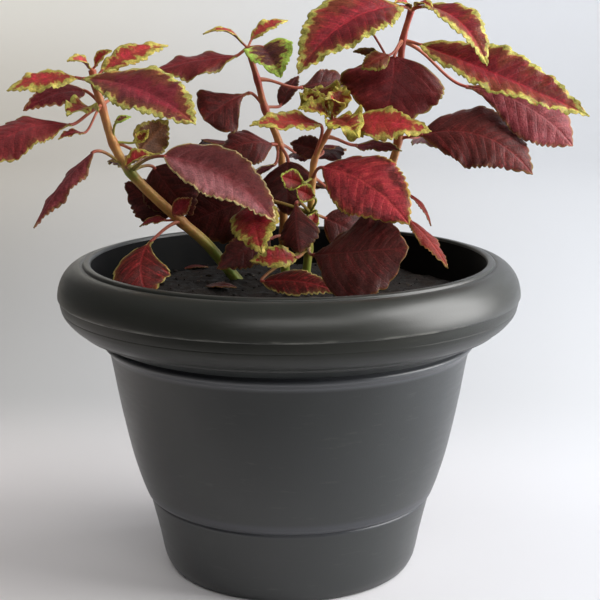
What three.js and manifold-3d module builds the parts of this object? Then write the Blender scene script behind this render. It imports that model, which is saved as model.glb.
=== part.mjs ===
// A potted coleus: a plastic pot with a rolled rim, a fill of soil, four leafy stems and their leaves.
// Millimetres, +Z up. The origin is the centre of the pot's flat base.

import * as THREE from 'three';
import { mergeVertices } from 'three/addons/utils/BufferGeometryUtils.js';
import Module from 'manifold-3d';

const wasm = await Module();
wasm.setup();

// ---------------------------------------------------------------- driving dimensions

const RIM_RADIUS = 125;
const RIM_WIDEST_Z = 154;
const LIP_RADIUS = 107;
const LIP_Z = 170.5;
const RIM_SKIN = 2.4;
const COLLAR_RADIUS = 100.4;
const COLLAR_Z = 128;
const STEP_RADIUS = 79.3;
const STEP_Z = 42;
const FOOT_RADIUS = 68;
const WALL = 2.4;
const FLOOR = 3;
const POT_SIDES = 40;
const DRAIN_RADIUS = 5;
const DRAIN_RING = 42;
const DRAIN_COUNT = 4;
const DRAIN_SIDES = 8;

const SOIL_Z = 151;
const SOIL_RINGS = [86, 66, 46, 24];
const SOIL_EDGE_DROP = 2;
const SOIL_LUMP = 0.9;
const SOIL_RIPPLE = 0.6;
const FIT_GAP = 0.3;
const HOLE_DEPTH = 24;
const HOLE_PLAY = 0.4;

const BLADE_THICKNESS = 0.8;
const NECK_HALF_WIDTH = 1.3;
const TIP_HALF_WIDTH = 0.4;
const SEAT_GAP = 0.35;
const PETIOLE_HALF = 1;
const YOUNG_PETIOLE_HALF = 0.75;
const YOUNG_ROOT = 1.6;
const PETIOLE_SIDES = 4;
const PETIOLE_STEPS = 4;
const PETIOLE_FLARE = 1.3;
const PETIOLE_RISE = 0.3;
const PETIOLE_START_PULL = 0.35;
const PETIOLE_END_PULL = 0.3;
const STEM_SIDES = 4;
const STEM_STEPS = 9;

// ---------------------------------------------------------------- materials

const MATERIALS = {
  pot_plastic: { color: 0x3a3c3a, roughness: 0.42, metalness: 0 },
  soil: { color: 0x2a2019, roughness: 0.95, metalness: 0 },
  stem: { color: 0xb9743c, roughness: 0.6, metalness: 0 },
  leaf_burgundy: { color: 0x5e1a26, roughness: 0.5, metalness: 0 },
  leaf_edged: { color: 0x8f2436, roughness: 0.5, metalness: 0 },
  leaf_lime: { color: 0xa8b04a, roughness: 0.55, metalness: 0 },
};

function material(slot) {
  return new THREE.MeshStandardMaterial(MATERIALS[slot]);
}

// ---------------------------------------------------------------- solids and booleans

function toSolid(geometry) {
  const bare = geometry.clone();
  bare.deleteAttribute('normal');
  bare.deleteAttribute('uv');
  const welded = mergeVertices(bare, 1e-4);
  return new wasm.Manifold(new wasm.Mesh({
    numProp: 3,
    vertProperties: new Float32Array(welded.attributes.position.array),
    triVerts: new Uint32Array(welded.index.array),
  }));
}

function toGeometry(solid) {
  const mesh = solid.getMesh();
  const geometry = new THREE.BufferGeometry();
  geometry.setAttribute('position', new THREE.BufferAttribute(mesh.vertProperties, 3));
  geometry.setIndex(new THREE.BufferAttribute(mesh.triVerts, 1));
  geometry.computeVertexNormals();
  return geometry;
}

function piece(name, geometry, slot) {
  const mesh = new THREE.Mesh(geometry, material(slot));
  mesh.name = name;
  return mesh;
}

// A closed body from rings of points, each ring with the same count, capped at both ends.
function skinRings(rings) {
  const count = rings[0].length;
  const positions = [];
  const index = [];
  for (const ring of rings) {
    for (const point of ring) positions.push(point.x, point.y, point.z);
  }
  for (let row = 0; row < rings.length - 1; row += 1) {
    for (let i = 0; i < count; i += 1) {
      const a = row * count + i;
      const b = row * count + ((i + 1) % count);
      index.push(a, b, b + count, a, b + count, a + count);
    }
  }
  const last = (rings.length - 1) * count;
  for (let i = 1; i < count - 1; i += 1) {
    index.push(0, i + 1, i);
    index.push(last, last + i, last + i + 1);
  }
  const geometry = new THREE.BufferGeometry();
  geometry.setAttribute('position', new THREE.Float32BufferAttribute(positions, 3));
  geometry.setIndex(index);
  return geometry;
}

// ---------------------------------------------------------------- pot

// Outer wall from the foot to the collar, as radius and height.
const OUTER_WALL = [
  [FOOT_RADIUS - 3.5, 0],
  [FOOT_RADIUS + 0.6, 1.4],
  [FOOT_RADIUS + 2.4, 6],
  [FOOT_RADIUS + 5.3, 20],
  [STEP_RADIUS - 2.4, STEP_Z - 7],
  [STEP_RADIUS - 0.9, STEP_Z - 1],
  [STEP_RADIUS + 0.2, STEP_Z + 0.6],
  [STEP_RADIUS + 3, STEP_Z + 7.5],
  [STEP_RADIUS + 7.4, STEP_Z + 22],
  [94, 98.5],
  [COLLAR_RADIUS - 1.8, COLLAR_Z - 4],
  [COLLAR_RADIUS + 0.4, COLLAR_Z - 0.6],
  [COLLAR_RADIUS - 0.2, COLLAR_Z + 1.4],
];

// The rolled rim's skin from its free lower edge up, out and over to the lip.
const RIM_OUTSIDE = [
  [COLLAR_RADIUS + 1.2, COLLAR_Z + 2.6],
  [COLLAR_RADIUS + 7, COLLAR_Z + 5.4],
  [COLLAR_RADIUS + 14, COLLAR_Z + 9],
  [RIM_RADIUS - 5.6, RIM_WIDEST_Z - 13],
  [RIM_RADIUS - 2.2, RIM_WIDEST_Z - 9],
  [RIM_RADIUS - 0.6, RIM_WIDEST_Z - 4.6],
  [RIM_RADIUS, RIM_WIDEST_Z],
  [RIM_RADIUS - 1.4, RIM_WIDEST_Z + 7],
  [RIM_RADIUS - 5.6, RIM_WIDEST_Z + 13],
  [RIM_RADIUS - 12.4, RIM_WIDEST_Z + 16.4],
  [LIP_RADIUS + 4.6, LIP_Z - 0.6],
  [LIP_RADIUS + 1.6, LIP_Z + 0.6],
  [LIP_RADIUS, LIP_Z - 0.4],
];

// Radius of the inside face of the wall at a height.
function innerRadius(z) {
  const rows = [...OUTER_WALL.slice(2), [LIP_RADIUS + WALL, LIP_Z]];
  for (let i = 0; i < rows.length - 1; i += 1) {
    const [r0, z0] = rows[i];
    const [r1, z1] = rows[i + 1];
    if (z <= z1) return r0 + (r1 - r0) * Math.max(0, (z - z0) / (z1 - z0)) - WALL;
  }
  return LIP_RADIUS;
}

// Heights at which the inside of the wall bends.
const INNER_HEIGHTS = [126, 98, 64, STEP_Z + 4, 20];

function buildPot() {
  const hollowOfRim = [
    [LIP_RADIUS + WALL - 0.4, LIP_Z - RIM_SKIN - 0.8],
    [RIM_RADIUS - 12, RIM_WIDEST_Z + 13.2],
    [RIM_RADIUS - RIM_SKIN - 1.6, RIM_WIDEST_Z + 4],
    [RIM_RADIUS - RIM_SKIN - 1.6, RIM_WIDEST_Z - 7],
    [COLLAR_RADIUS + 13, COLLAR_Z + 11],
    [COLLAR_RADIUS + 1.6, COLLAR_Z + 5],
  ];
  const innerHeights = [...INNER_HEIGHTS, FLOOR];
  const profile = [
    [0, 0],
    ...OUTER_WALL,
    [COLLAR_RADIUS - 0.1, COLLAR_Z + 5],
    ...hollowOfRim,
    ...RIM_OUTSIDE,
    ...innerHeights.map((z) => [innerRadius(z), z]),
    [0, FLOOR],
  ];
  const points = profile.map(([r, z]) => new THREE.Vector2(r, z));
  const lathe = new THREE.LatheGeometry(points, POT_SIDES);
  lathe.rotateX(Math.PI / 2);
  let pot = toSolid(lathe);
  for (let i = 0; i < DRAIN_COUNT; i += 1) {
    const angle = ((i + 0.5) / DRAIN_COUNT) * Math.PI * 2;
    const drain = new THREE.CylinderGeometry(DRAIN_RADIUS, DRAIN_RADIUS, FLOOR * 3, DRAIN_SIDES);
    drain.rotateX(Math.PI / 2);
    drain.translate(DRAIN_RING * Math.cos(angle), DRAIN_RING * Math.sin(angle), FLOOR / 2);
    pot = pot.subtract(toSolid(drain));
  }
  return piece('pot', toGeometry(pot), 'pot_plastic');
}

// ---------------------------------------------------------------- plant layout

// Each stem follows its path of points from below the soil to its tip, with a thickness at each end.
// Grown leaves are pieces of their own; the young ones of the side shoots are one body with their stem.
// Each leaf names the stem point that its petiole leaves from (at), the start (base) and end (tip) of its
// blade, the blade's greatest width, the way its upper face looks, and how it is shaped:
//   arch   rise of the midrib above the straight line, as a share of the length
//   fold   slope of the two halves, up from the midrib where positive and down where negative
//   wave   height of the margin's waves as a share of the width
//   sweep  sideways bend of the midrib as a share of the length
//   wide   place of the greatest width along the midrib
//   teeth  teeth on each margin

const STEMS = {
  left: {
    thickness: [6.2, 3.2],
    path: [[-31, 36, 153], [-47, 26, 175], [-60, 20, 188], [-86, 8, 217], [-94, 3, 233], [-99, -1, 253],
      [-102, -3, 265], [-103, -4, 272]],
    leaves: [
      { at: 6, base: [-111, -4, 268], tip: [-146, -16, 262], width: 18, face: [0, -0.7, 1], arch: 0.1,
        fold: -0.1, wave: 0.05, wide: 0.45, teeth: 6, slot: 'leaf_edged' },
      { at: 6, base: [-99, 2, 271], tip: [-65, 22, 284], width: 18, face: [0, -0.7, 1], arch: 0.08,
        fold: 0.1, wave: 0.05, teeth: 6, slot: 'leaf_edged' },
      { at: 6, base: [-107, -12, 268], tip: [-46, -50, 247], width: 36, face: [0.1, -0.75, 1], arch: 0.06,
        fold: 0.1, wave: 0.03, sweep: 0.05, wide: 0.52, teeth: 8, slot: 'leaf_edged' },
      { at: 5, base: [-108, 2, 261], tip: [-143, 10, 250], width: 20, face: [0, 0.8, 1], arch: 0.14,
        fold: -0.1, wave: 0.02, teeth: 5, slot: 'leaf_burgundy' },
      { at: 5, base: [-114, -12, 244], tip: [-163, -46, 222], width: 33, face: [-0.2, -0.7, 1], arch: 0.16,
        fold: -0.1, wave: 0.05, wide: 0.52, teeth: 7, slot: 'leaf_burgundy' },
      { at: 5, base: [-102, -12, 252], tip: [-113, -30, 250], width: 18, face: [-0.3, -1, 1], arch: 0.1,
        fold: 0.3, wave: 0.14, teeth: 4, slot: 'leaf_edged' },
      { at: 4, base: [-81, 12, 228], tip: [-66, 22, 244], width: 21, face: [0.4, 1, 0.4], arch: 0.1,
        fold: 0.1, wave: 0.05, teeth: 5, slot: 'leaf_burgundy' },
      { at: 3, base: [-104, -4, 229], tip: [-134, -22, 191], width: 19, face: [-0.7, -0.5, 0.6], arch: 0.05,
        fold: -0.3, wave: 0.08, teeth: 6, slot: 'leaf_burgundy' },
      { at: 2, base: [-66, 32, 190], tip: [-93, 40, 207], width: 26, face: [-0.3, -1, 0.4], arch: 0.05,
        fold: -0.1, wave: 0.04, teeth: 6, slot: 'leaf_burgundy' },
      { at: 3, base: [-74, 20, 218], tip: [-54, 30, 190], width: 35, face: [-0.3, -1, 0.4], arch: 0.08,
        fold: -0.15, wave: 0.03, teeth: 6, slot: 'leaf_burgundy' },
      { at: 3, base: [-66, -8, 227], tip: [-7, -26, 194], width: 40, face: [0.4, -0.8, 1], arch: 0.03,
        fold: 0.06, wave: 0.02, sweep: 0.12, wide: 0.38, teeth: 8, slot: 'leaf_burgundy' },
      { at: 2, base: [-74, -5, 181], tip: [-74, -30, 155], width: 31, face: [0, -1, 0.5], arch: 0.12,
        fold: -0.15, wave: 0.04, sweep: -0.12, wide: 0.62, teeth: 6, slot: 'leaf_burgundy' },
      { at: 5, base: [-93, 16, 257], tip: [-80, 54, 250], width: 30, face: [0, 0.2, 1], arch: 0.12,
        fold: -0.1, wave: 0.04, teeth: 7, slot: 'leaf_edged' },
      { at: 3, base: [-82, 28, 222], tip: [-98, 66, 213], width: 28, face: [-0.2, 0.3, 1], arch: 0.1,
        fold: -0.12, wave: 0.03, teeth: 7, slot: 'leaf_burgundy' },
    ],
    young: [
      { at: 5, base: [-107, -17, 240], tip: [-118, -29, 238], width: 7, face: [0, -0.5, 1], arch: 0.1,
        fold: 0.2, wave: 0.1, teeth: 3 },
      { at: 4, base: [-92, -1, 244], tip: [-84, 3, 247], width: 6, face: [0, -0.6, 1], arch: 0.1,
        fold: 0.2, wave: 0, teeth: 2 },
      { at: 4, base: [-83, 5, 233], tip: [-75, 5, 240], width: 7, face: [0, -1, 0.4], arch: -0.1,
        fold: 0.3, wave: 0.05, teeth: 3 },
      { at: 3, base: [-87, -2, 221], tip: [-72, 2, 227], width: 12, face: [0, -0.4, 1], arch: 0.1,
        fold: 0.5, wave: 0.02, teeth: 4 },
      { at: 2, base: [-64, 14, 193], tip: [-53, 12, 202], width: 11, face: [-0.3, -1, 0.3], arch: -0.1,
        fold: 0.3, wave: 0.02, teeth: 4 },
      { at: 2, base: [-68, 16, 189], tip: [-83, 20, 185], width: 8, face: [0, -0.5, 1], arch: 0.1,
        fold: 0.2, wave: 0.05, teeth: 3 },
    ],
  },
  back: {
    thickness: [5.4, 2.8],
    path: [[-2, 52, 153], [-3, 49, 174], [-3, 46, 196], [-5, 40, 228], [-13, 35, 249], [-17, 32, 265],
      [-22, 29, 282]],
    leaves: [
      { at: 6, base: [-28, 29, 278], tip: [-74, 22, 270], width: 27, face: [0, -0.5, 1], arch: 0.04,
        fold: -0.2, wave: 0.07, wide: 0.5, teeth: 7, slot: 'leaf_burgundy' },
      { at: 6, base: [-14, 25, 283], tip: [-4, 8, 267], width: 28, face: [0.2, -1, 0.6], arch: 0.1,
        fold: 0.35, wave: 0.05, wide: 0.3, teeth: 5, slot: 'leaf_lime' },
      { at: 4, base: [-21, 31, 258], tip: [-46, 16, 244], width: 33, face: [-0.2, -1, 0.5], arch: 0.1,
        fold: -0.1, wave: 0.05, wide: 0.72, teeth: 7, slot: 'leaf_burgundy' },
      { at: 4, base: [-4, 42, 250], tip: [6, 54, 266], width: 12, face: [-0.6, -1, 0.3], arch: 0.05,
        fold: 0.2, wave: 0.04, teeth: 4, slot: 'leaf_burgundy' },
      { at: 5, base: [7, 42, 260], tip: [34, 54, 263], width: 20, face: [0, -1, 0.5], arch: 0.06,
        fold: -0.15, wave: 0.05, wide: 0.6, teeth: 5, slot: 'leaf_burgundy' },
      { at: 3, base: [-9, 34, 229], tip: [-37, 20, 226], width: 29, face: [0, -0.9, 1], arch: 0.14,
        fold: -0.2, wave: 0.03, wide: 0.5, teeth: 6, slot: 'leaf_burgundy' },
      { at: 3, base: [-8, 28, 218], tip: [-28, 16, 208], width: 18, face: [0.2, 0.6, 1], arch: 0.08,
        fold: -0.1, wave: 0.03, teeth: 5, slot: 'leaf_burgundy' },
      { at: 3, base: [0, 28, 220], tip: [0, 12, 192], width: 30, face: [-0.2, -1, 0.3], arch: 0.1,
        fold: -0.1, wave: 0.03, teeth: 6, slot: 'leaf_burgundy' },
      { at: 2, base: [-14, 42, 200], tip: [-62, 38, 182], width: 44, face: [0, -1, 0.5], arch: 0.06,
        fold: -0.1, wave: 0.03, teeth: 7, slot: 'leaf_burgundy' },
      { at: 1, base: [-11, 30, 176], tip: [-40, 14, 162], width: 22, face: [0, -1, 0.6], arch: 0.1,
        fold: -0.1, wave: 0.03, teeth: 5, slot: 'leaf_burgundy' },
      { at: 3, base: [6, 60, 222], tip: [30, 92, 214], width: 40, face: [0, 0.4, 1], arch: 0.12,
        fold: -0.15, wave: 0.03, teeth: 7, slot: 'leaf_burgundy' },
      { at: 3, base: [-24, 54, 226], tip: [-52, 80, 218], width: 38, face: [0, 0.4, 1], arch: 0.12,
        fold: -0.15, wave: 0.03, teeth: 7, slot: 'leaf_burgundy' },
      { at: 1, base: [-4, 64, 186], tip: [-14, 100, 178], width: 34, face: [0, 0.4, 1], arch: 0.12,
        fold: -0.12, wave: 0.03, teeth: 7, slot: 'leaf_burgundy' },
    ],
    young: [
      { at: 6, base: [-25, 27, 285], tip: [-46, 20, 290], width: 9, face: [0, -0.3, 1], arch: 0.2,
        fold: 0.2, wave: 0.02, teeth: 4 },
      { at: 6, base: [-20, 32, 287], tip: [0, 40, 297], width: 12, face: [0, -0.5, 1], arch: 0.1,
        fold: 0.2, wave: 0.04, teeth: 4 },
    ],
  },
  middle: {
    thickness: [5, 2.4],
    path: [[9, 16, 153], [11, 13, 173], [12, 10, 193], [13, 6, 213], [14, 4, 223], [20, 1, 236],
      [24, -2, 244]],
    leaves: [
      { at: 4, base: [17, -4, 243], tip: [-20, -22, 244], width: 19, face: [0, -0.6, 1], arch: 0.06,
        fold: 0.1, wave: 0.06, teeth: 7, slot: 'leaf_edged' },
      { at: 6, base: [20, 2, 250], tip: [15, 16, 262], width: 25, face: [0, -0.8, 1], arch: 0.1,
        fold: 0.15, wave: 0.1, teeth: 5, slot: 'leaf_lime' },
      { at: 6, base: [31, -4, 243], tip: [75, -14, 240], width: 24, face: [0, -0.9, 1], arch: 0.1,
        fold: -0.1, wave: 0.05, teeth: 6, slot: 'leaf_edged' },
      { at: 6, base: [25, -8, 246], tip: [36, -28, 238], width: 21, face: [0, -0.8, 1], arch: 0.14,
        fold: 0.1, wave: 0.14, teeth: 5, slot: 'leaf_lime' },
      { at: 5, base: [36, 6, 231], tip: [62, 15, 227], width: 16, face: [0, 0.5, 1], arch: 0.08,
        fold: -0.1, wave: 0.04, teeth: 5, slot: 'leaf_burgundy' },
      { at: 4, base: [19, 14, 227], tip: [1, 22, 231], width: 14, face: [0, -1, 0.3], arch: 0.05,
        fold: 0.1, wave: 0.04, teeth: 4, slot: 'leaf_burgundy' },
      { at: 3, base: [18, -10, 221], tip: [61, -48, 196], width: 39, face: [-0.2, -1, 0.8], arch: 0.09,
        fold: -0.1, wave: 0.02, sweep: 0.06, wide: 0.46, teeth: 8, slot: 'leaf_edged' },
      { at: 2, base: [4, -9, 202], tip: [6, -28, 178], width: 22, face: [-0.2, -1, 0.3], arch: 0.12,
        fold: -0.5, wave: 0.03, wide: 0.6, teeth: 5, slot: 'leaf_burgundy' },
      { at: 2, base: [-20, 2, 202], tip: [-14, -30, 178], width: 28, face: [-0.3, -1, 0.6], arch: 0.1,
        fold: -0.1, wave: 0.04, teeth: 6, slot: 'leaf_edged' },
      { at: 1, base: [4, -2, 171], tip: [-21, -12, 171], width: 14, face: [0, -1, 0.6], arch: 0.1,
        fold: 0.15, wave: 0.04, teeth: 5, slot: 'leaf_edged' },
      { at: 1, base: [13, -16, 175], tip: [61, -46, 184], width: 60, face: [0.05, -1, 0.9], arch: 0.1,
        fold: -0.08, wave: 0.02, sweep: -0.08, wide: 0.6, teeth: 8, slot: 'leaf_burgundy' },
      { at: 1, base: [-14, -8, 159], tip: [27, -22, 156], width: 19, face: [0, -0.8, 1], arch: 0.1,
        fold: -0.1, wave: 0.03, teeth: 6, slot: 'leaf_burgundy' },
      { at: 2, base: [20, 16, 190], tip: [44, 20, 176], width: 26, face: [0.1, -1, 0.5], arch: 0.1,
        fold: -0.1, wave: 0.03, teeth: 5, slot: 'leaf_burgundy' },
      { at: 3, base: [22, 26, 206], tip: [32, 64, 196], width: 32, face: [0.1, 0.4, 1], arch: 0.12,
        fold: -0.12, wave: 0.03, teeth: 7, slot: 'leaf_burgundy' },
    ],
    young: [
      { at: 3, base: [8, -4, 212], tip: [-4, -14, 217], width: 12, face: [0, -1, 0.2], arch: -0.2,
        fold: 0.3, wave: 0.04, teeth: 4 },
      { at: 2, base: [14, -3, 204], tip: [4, -11, 210], width: 11, face: [0, -1, 0.2], arch: -0.2,
        fold: 0.3, wave: 0.04, teeth: 4 },
    ],
  },
  right: {
    thickness: [5.8, 3],
    path: [[38, 42, 153], [47, 38, 185], [56, 32, 212], [61, 27, 232], [61, 22, 262], [62, 18, 286],
      [66, 15, 302]],
    leaves: [
      { at: 6, base: [60, 4, 304], tip: [5, -38, 271], width: 40, face: [-0.1, -0.8, 1], arch: 0.11,
        fold: 0.15, wave: 0.03, sweep: -0.05, wide: 0.42, teeth: 8, slot: 'leaf_edged' },
      { at: 6, base: [72, 8, 304], tip: [102, -22, 274], width: 26, face: [0.3, -0.6, 1], arch: 0.16,
        fold: 0.25, wave: 0.03, teeth: 7, slot: 'leaf_edged' },
      { at: 5, base: [71, 16, 284], tip: [156, -20, 248], width: 36, face: [0.1, -0.8, 1], arch: 0.06,
        fold: 0.25, wave: 0.03, sweep: -0.05, wide: 0.46, teeth: 9, slot: 'leaf_edged' },
      { at: 5, base: [98, 28, 261], tip: [156, 18, 229], width: 35, face: [0.1, -1, 0.5], arch: 0.1,
        fold: -0.1, wave: 0.03, sweep: 0.06, wide: 0.6, teeth: 8, slot: 'leaf_edged' },
      { at: 3, base: [73, 22, 235], tip: [132, 4, 215], width: 42, face: [0, -0.9, 0.8], arch: 0.1,
        fold: -0.1, wave: 0.03, sweep: 0.13, wide: 0.44, teeth: 8, slot: 'leaf_burgundy' },
      { at: 5, base: [57, 12, 278], tip: [50, 3, 240], width: 57, face: [0, -1, 0.5], arch: 0.12,
        fold: -0.12, wave: 0.03, sweep: 0.04, wide: 0.36, teeth: 8, slot: 'leaf_burgundy' },
      { at: 5, base: [54, 26, 272], tip: [36, 34, 280], width: 16, face: [0, 0.5, 1], arch: 0.1,
        fold: 0.2, wave: 0.03, teeth: 4, slot: 'leaf_burgundy' },
      { at: 2, base: [68, 26, 187], tip: [87, 2, 164], width: 15, face: [0.6, -0.6, 0.7], arch: 0.05,
        fold: -0.1, wave: 0.04, teeth: 6, slot: 'leaf_edged' },
      { at: 3, base: [74, 44, 232], tip: [108, 78, 221], width: 36, face: [0, 0.4, 1], arch: 0.12,
        fold: -0.15, wave: 0.03, teeth: 7, slot: 'leaf_burgundy' },
      { at: 4, base: [60, 38, 264], tip: [50, 84, 253], width: 38, face: [0, 0.2, 1], arch: 0.12,
        fold: -0.15, wave: 0.03, teeth: 8, slot: 'leaf_burgundy' },
      { at: 1, base: [54, 54, 194], tip: [52, 92, 180], width: 30, face: [0, 0.4, 1], arch: 0.12,
        fold: -0.12, wave: 0.03, teeth: 7, slot: 'leaf_burgundy' },
    ],
    young: [
      { at: 2, base: [66, 28, 202], tip: [79, 18, 185], width: 6, face: [0.6, -0.4, 0.8], arch: 0.1,
        fold: 0.2, wave: 0.02, teeth: 3 },
    ],
  },
};

// Small leaves that have dropped and lie on the soil.
const FALLEN = [
  { base: [-46, 12, SOIL_Z + 1.6], tip: [-29, 8, SOIL_Z + 1.6], width: 14, face: [0, 0, 1], arch: 0.06,
    fold: 0.05, wave: 0, teeth: 4, slot: 'leaf_burgundy' },
  { base: [-62, 66, SOIL_Z + 1.6], tip: [-48, 70, SOIL_Z + 1.6], width: 9, face: [0, 0, 1], arch: 0.06,
    fold: 0.05, wave: 0, teeth: 4, slot: 'leaf_burgundy' },
];

// ---------------------------------------------------------------- leaf blades

const vector = (xyz) => new THREE.Vector3(...xyz);

// Half width of a blade at a share of its length, widest at leaf.wide and drawn out to a point at the tip.
function outline(leaf, s) {
  const peak = Math.log(0.5) / Math.log(leaf.wide ?? 0.4);
  return Math.pow(Math.max(0, Math.sin(Math.PI * Math.pow(s, peak))), OUTLINE_FULLNESS);
}

// Frame of a blade: unit vectors along it, across it and out of its upper face.
function bladeFrame(leaf) {
  const base = vector(leaf.base);
  const along = vector(leaf.tip).sub(base);
  const length = along.length();
  along.normalize();
  const up = vector(leaf.face);
  up.addScaledVector(along, -up.dot(along)).normalize();
  const across = new THREE.Vector3().crossVectors(up, along);
  return { base, along, across, up, length };
}

// Point of the midrib.
function ribPoint(leaf, frame, s) {
  const bow = 4 * s * (1 - s);
  return frame.base.clone()
    .addScaledVector(frame.along, frame.length * s)
    .addScaledVector(frame.up, frame.length * leaf.arch * bow)
    .addScaledVector(frame.across, frame.length * (leaf.sweep ?? 0) * bow);
}

function ribDirection(leaf, frame, s) {
  const step = 0.01;
  return ribPoint(leaf, frame, s + step).sub(ribPoint(leaf, frame, s - step)).normalize();
}

// Point of the blade's middle surface: s along the midrib, v from -1 to 1 across, reach trims the margin.
function bladePoint(leaf, frame, s, v, reach) {
  const along = ribDirection(leaf, frame, s);
  const across = frame.across.clone().addScaledVector(along, -frame.across.dot(along)).normalize();
  const normal = new THREE.Vector3().crossVectors(along, across);
  const full = Math.max(outline(leaf, s) * leaf.width / 2, 0);
  const edge = Math.max(full * reach, s < 0.5 ? NECK_HALF_WIDTH : TIP_HALF_WIDTH);
  const start = v < 0 ? RIGHT_WAVE_START : LEFT_WAVE_START;
  const ripple = Math.sin(Math.PI * (2 * WAVES * s + start));
  const lift = leaf.fold * Math.abs(v) * edge + leaf.wave * leaf.width * v * v * ripple * outline(leaf, s);
  return {
    point: ribPoint(leaf, frame, s).addScaledVector(across, v * edge).addScaledVector(normal, lift),
    normal,
  };
}

// The blade's net: the midrib and a toothed margin on each side of it.
const TOOTH_DEPTH = 0.13;
const TOOTH_LEAN = 0.62;
const OUTLINE_FULLNESS = 0.9;
const WAVES = 2.5;
const RIGHT_WAVE_START = 1.1;
const LEFT_WAVE_START = 0.3;

function buildBlade(leaf) {
  const frame = bladeFrame(leaf);
  const teeth = leaf.teeth;
  const nodes = [];
  const add = (s, v, reach) => {
    nodes.push(bladePoint(leaf, frame, s, v, reach));
    return nodes.length - 1;
  };
  const rib = [];
  for (let i = 0; i <= teeth; i += 1) rib.push(add(i / teeth, 0, 1));
  const faces = [];
  const [right, left] = [-1, 1].map((side) => {
    const margin = [];
    for (let i = 0; i <= teeth; i += 1) {
      const end = i === 0 || i === teeth;
      margin.push(add(i / teeth, side, end ? 1 : 1 - TOOTH_DEPTH));
      if (i < teeth) margin.push(add((i + TOOTH_LEAN) / teeth, side, 1));
    }
    for (let i = 0; i < teeth; i += 1) {
      const cell = [
        [rib[i], margin[2 * i + 1], margin[2 * i]],
        [rib[i], rib[i + 1], margin[2 * i + 1]],
        [rib[i + 1], margin[2 * i + 2], margin[2 * i + 1]],
      ];
      for (const [a, b, c] of cell) faces.push(side > 0 ? [a, b, c] : [a, c, b]);
    }
    return margin;
  });
  const loop = [rib[0], ...right, rib[teeth], ...left.slice().reverse()];
  const positions = [];
  for (const half of [0.5, -0.5]) {
    for (const { point, normal } of nodes) {
      const p = point.clone().addScaledVector(normal, half * BLADE_THICKNESS);
      positions.push(p.x, p.y, p.z);
    }
  }
  const under = nodes.length;
  const index = [];
  for (const [a, b, c] of faces) {
    index.push(a, b, c);
    index.push(a + under, c + under, b + under);
  }
  for (let i = 0; i < loop.length; i += 1) {
    const a = loop[i];
    const b = loop[(i + 1) % loop.length];
    index.push(a, a + under, b, b, a + under, b + under);
  }
  const geometry = new THREE.BufferGeometry();
  geometry.setAttribute('position', new THREE.Float32BufferAttribute(positions, 3));
  geometry.setIndex(index);
  return geometry;
}

// ---------------------------------------------------------------- stems and petioles

// A tube along a curve, its section a polygon whose flats lie at the given half widths.
function buildTube(curve, startHalf, endHalf, sides, steps) {
  const frames = curve.computeFrenetFrames(steps, false);
  const rings = [];
  for (let i = 0; i <= steps; i += 1) {
    const centre = curve.getPointAt(i / steps);
    const radius = (startHalf + (endHalf - startHalf) * (i / steps)) / Math.cos(Math.PI / sides);
    const ring = [];
    for (let k = 0; k < sides; k += 1) {
      const turn = ((k + 0.5) / sides) * Math.PI * 2;
      ring.push(centre.clone()
        .addScaledVector(frames.normals[i], radius * Math.cos(turn))
        .addScaledVector(frames.binormals[i], radius * Math.sin(turn)));
    }
    rings.push(ring);
  }
  return skinRings(rings);
}

function stemCurve(stem, depth) {
  const points = stem.path.map(vector);
  const root = points[0].clone().sub(points[1]).normalize();
  const bottom = points[0].clone().addScaledVector(root, depth);
  return new THREE.CatmullRomCurve3([bottom, ...points], false, 'centripetal');
}

function petioleCurve(stem, leaf, gap) {
  const frame = bladeFrame(leaf);
  const start = vector(stem.path[leaf.at]);
  const direction = ribDirection(leaf, frame, 0);
  const end = frame.base.clone().addScaledVector(direction, -gap);
  const reach = start.distanceTo(end);
  const out = end.clone().sub(start).normalize().add(new THREE.Vector3(0, 0, PETIOLE_RISE)).normalize();
  return new THREE.CubicBezierCurve3(
    start,
    start.clone().addScaledVector(out, reach * PETIOLE_START_PULL),
    end.clone().addScaledVector(direction, -reach * PETIOLE_END_PULL),
    end,
  );
}

function buildStem(name, stem) {
  const [thick, thin] = stem.thickness;
  let solid = toSolid(buildTube(stemCurve(stem, HOLE_DEPTH), thick / 2, thin / 2, STEM_SIDES, STEM_STEPS));
  const addPetiole = (leaf, gap, half) => {
    const petiole = buildTube(petioleCurve(stem, leaf, gap), half * PETIOLE_FLARE, half, PETIOLE_SIDES,
      PETIOLE_STEPS);
    solid = solid.add(toSolid(petiole));
  };
  for (const leaf of stem.leaves) addPetiole(leaf, SEAT_GAP, PETIOLE_HALF);
  for (const leaf of stem.young) {
    addPetiole(leaf, -YOUNG_ROOT, YOUNG_PETIOLE_HALF);
    solid = solid.add(toSolid(buildBlade(leaf)));
  }
  return piece(`${name}_stem`, toGeometry(solid), 'stem');
}

// ---------------------------------------------------------------- soil

// Gentle lumps of the soil's surface.
function soilLump(x, y) {
  const broad = Math.sin(x * 0.11 + 1.3) * Math.cos(y * 0.09);
  const fine = Math.sin(x * 0.21 - y * 0.17);
  return SOIL_LUMP * broad + SOIL_RIPPLE * fine;
}

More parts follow.
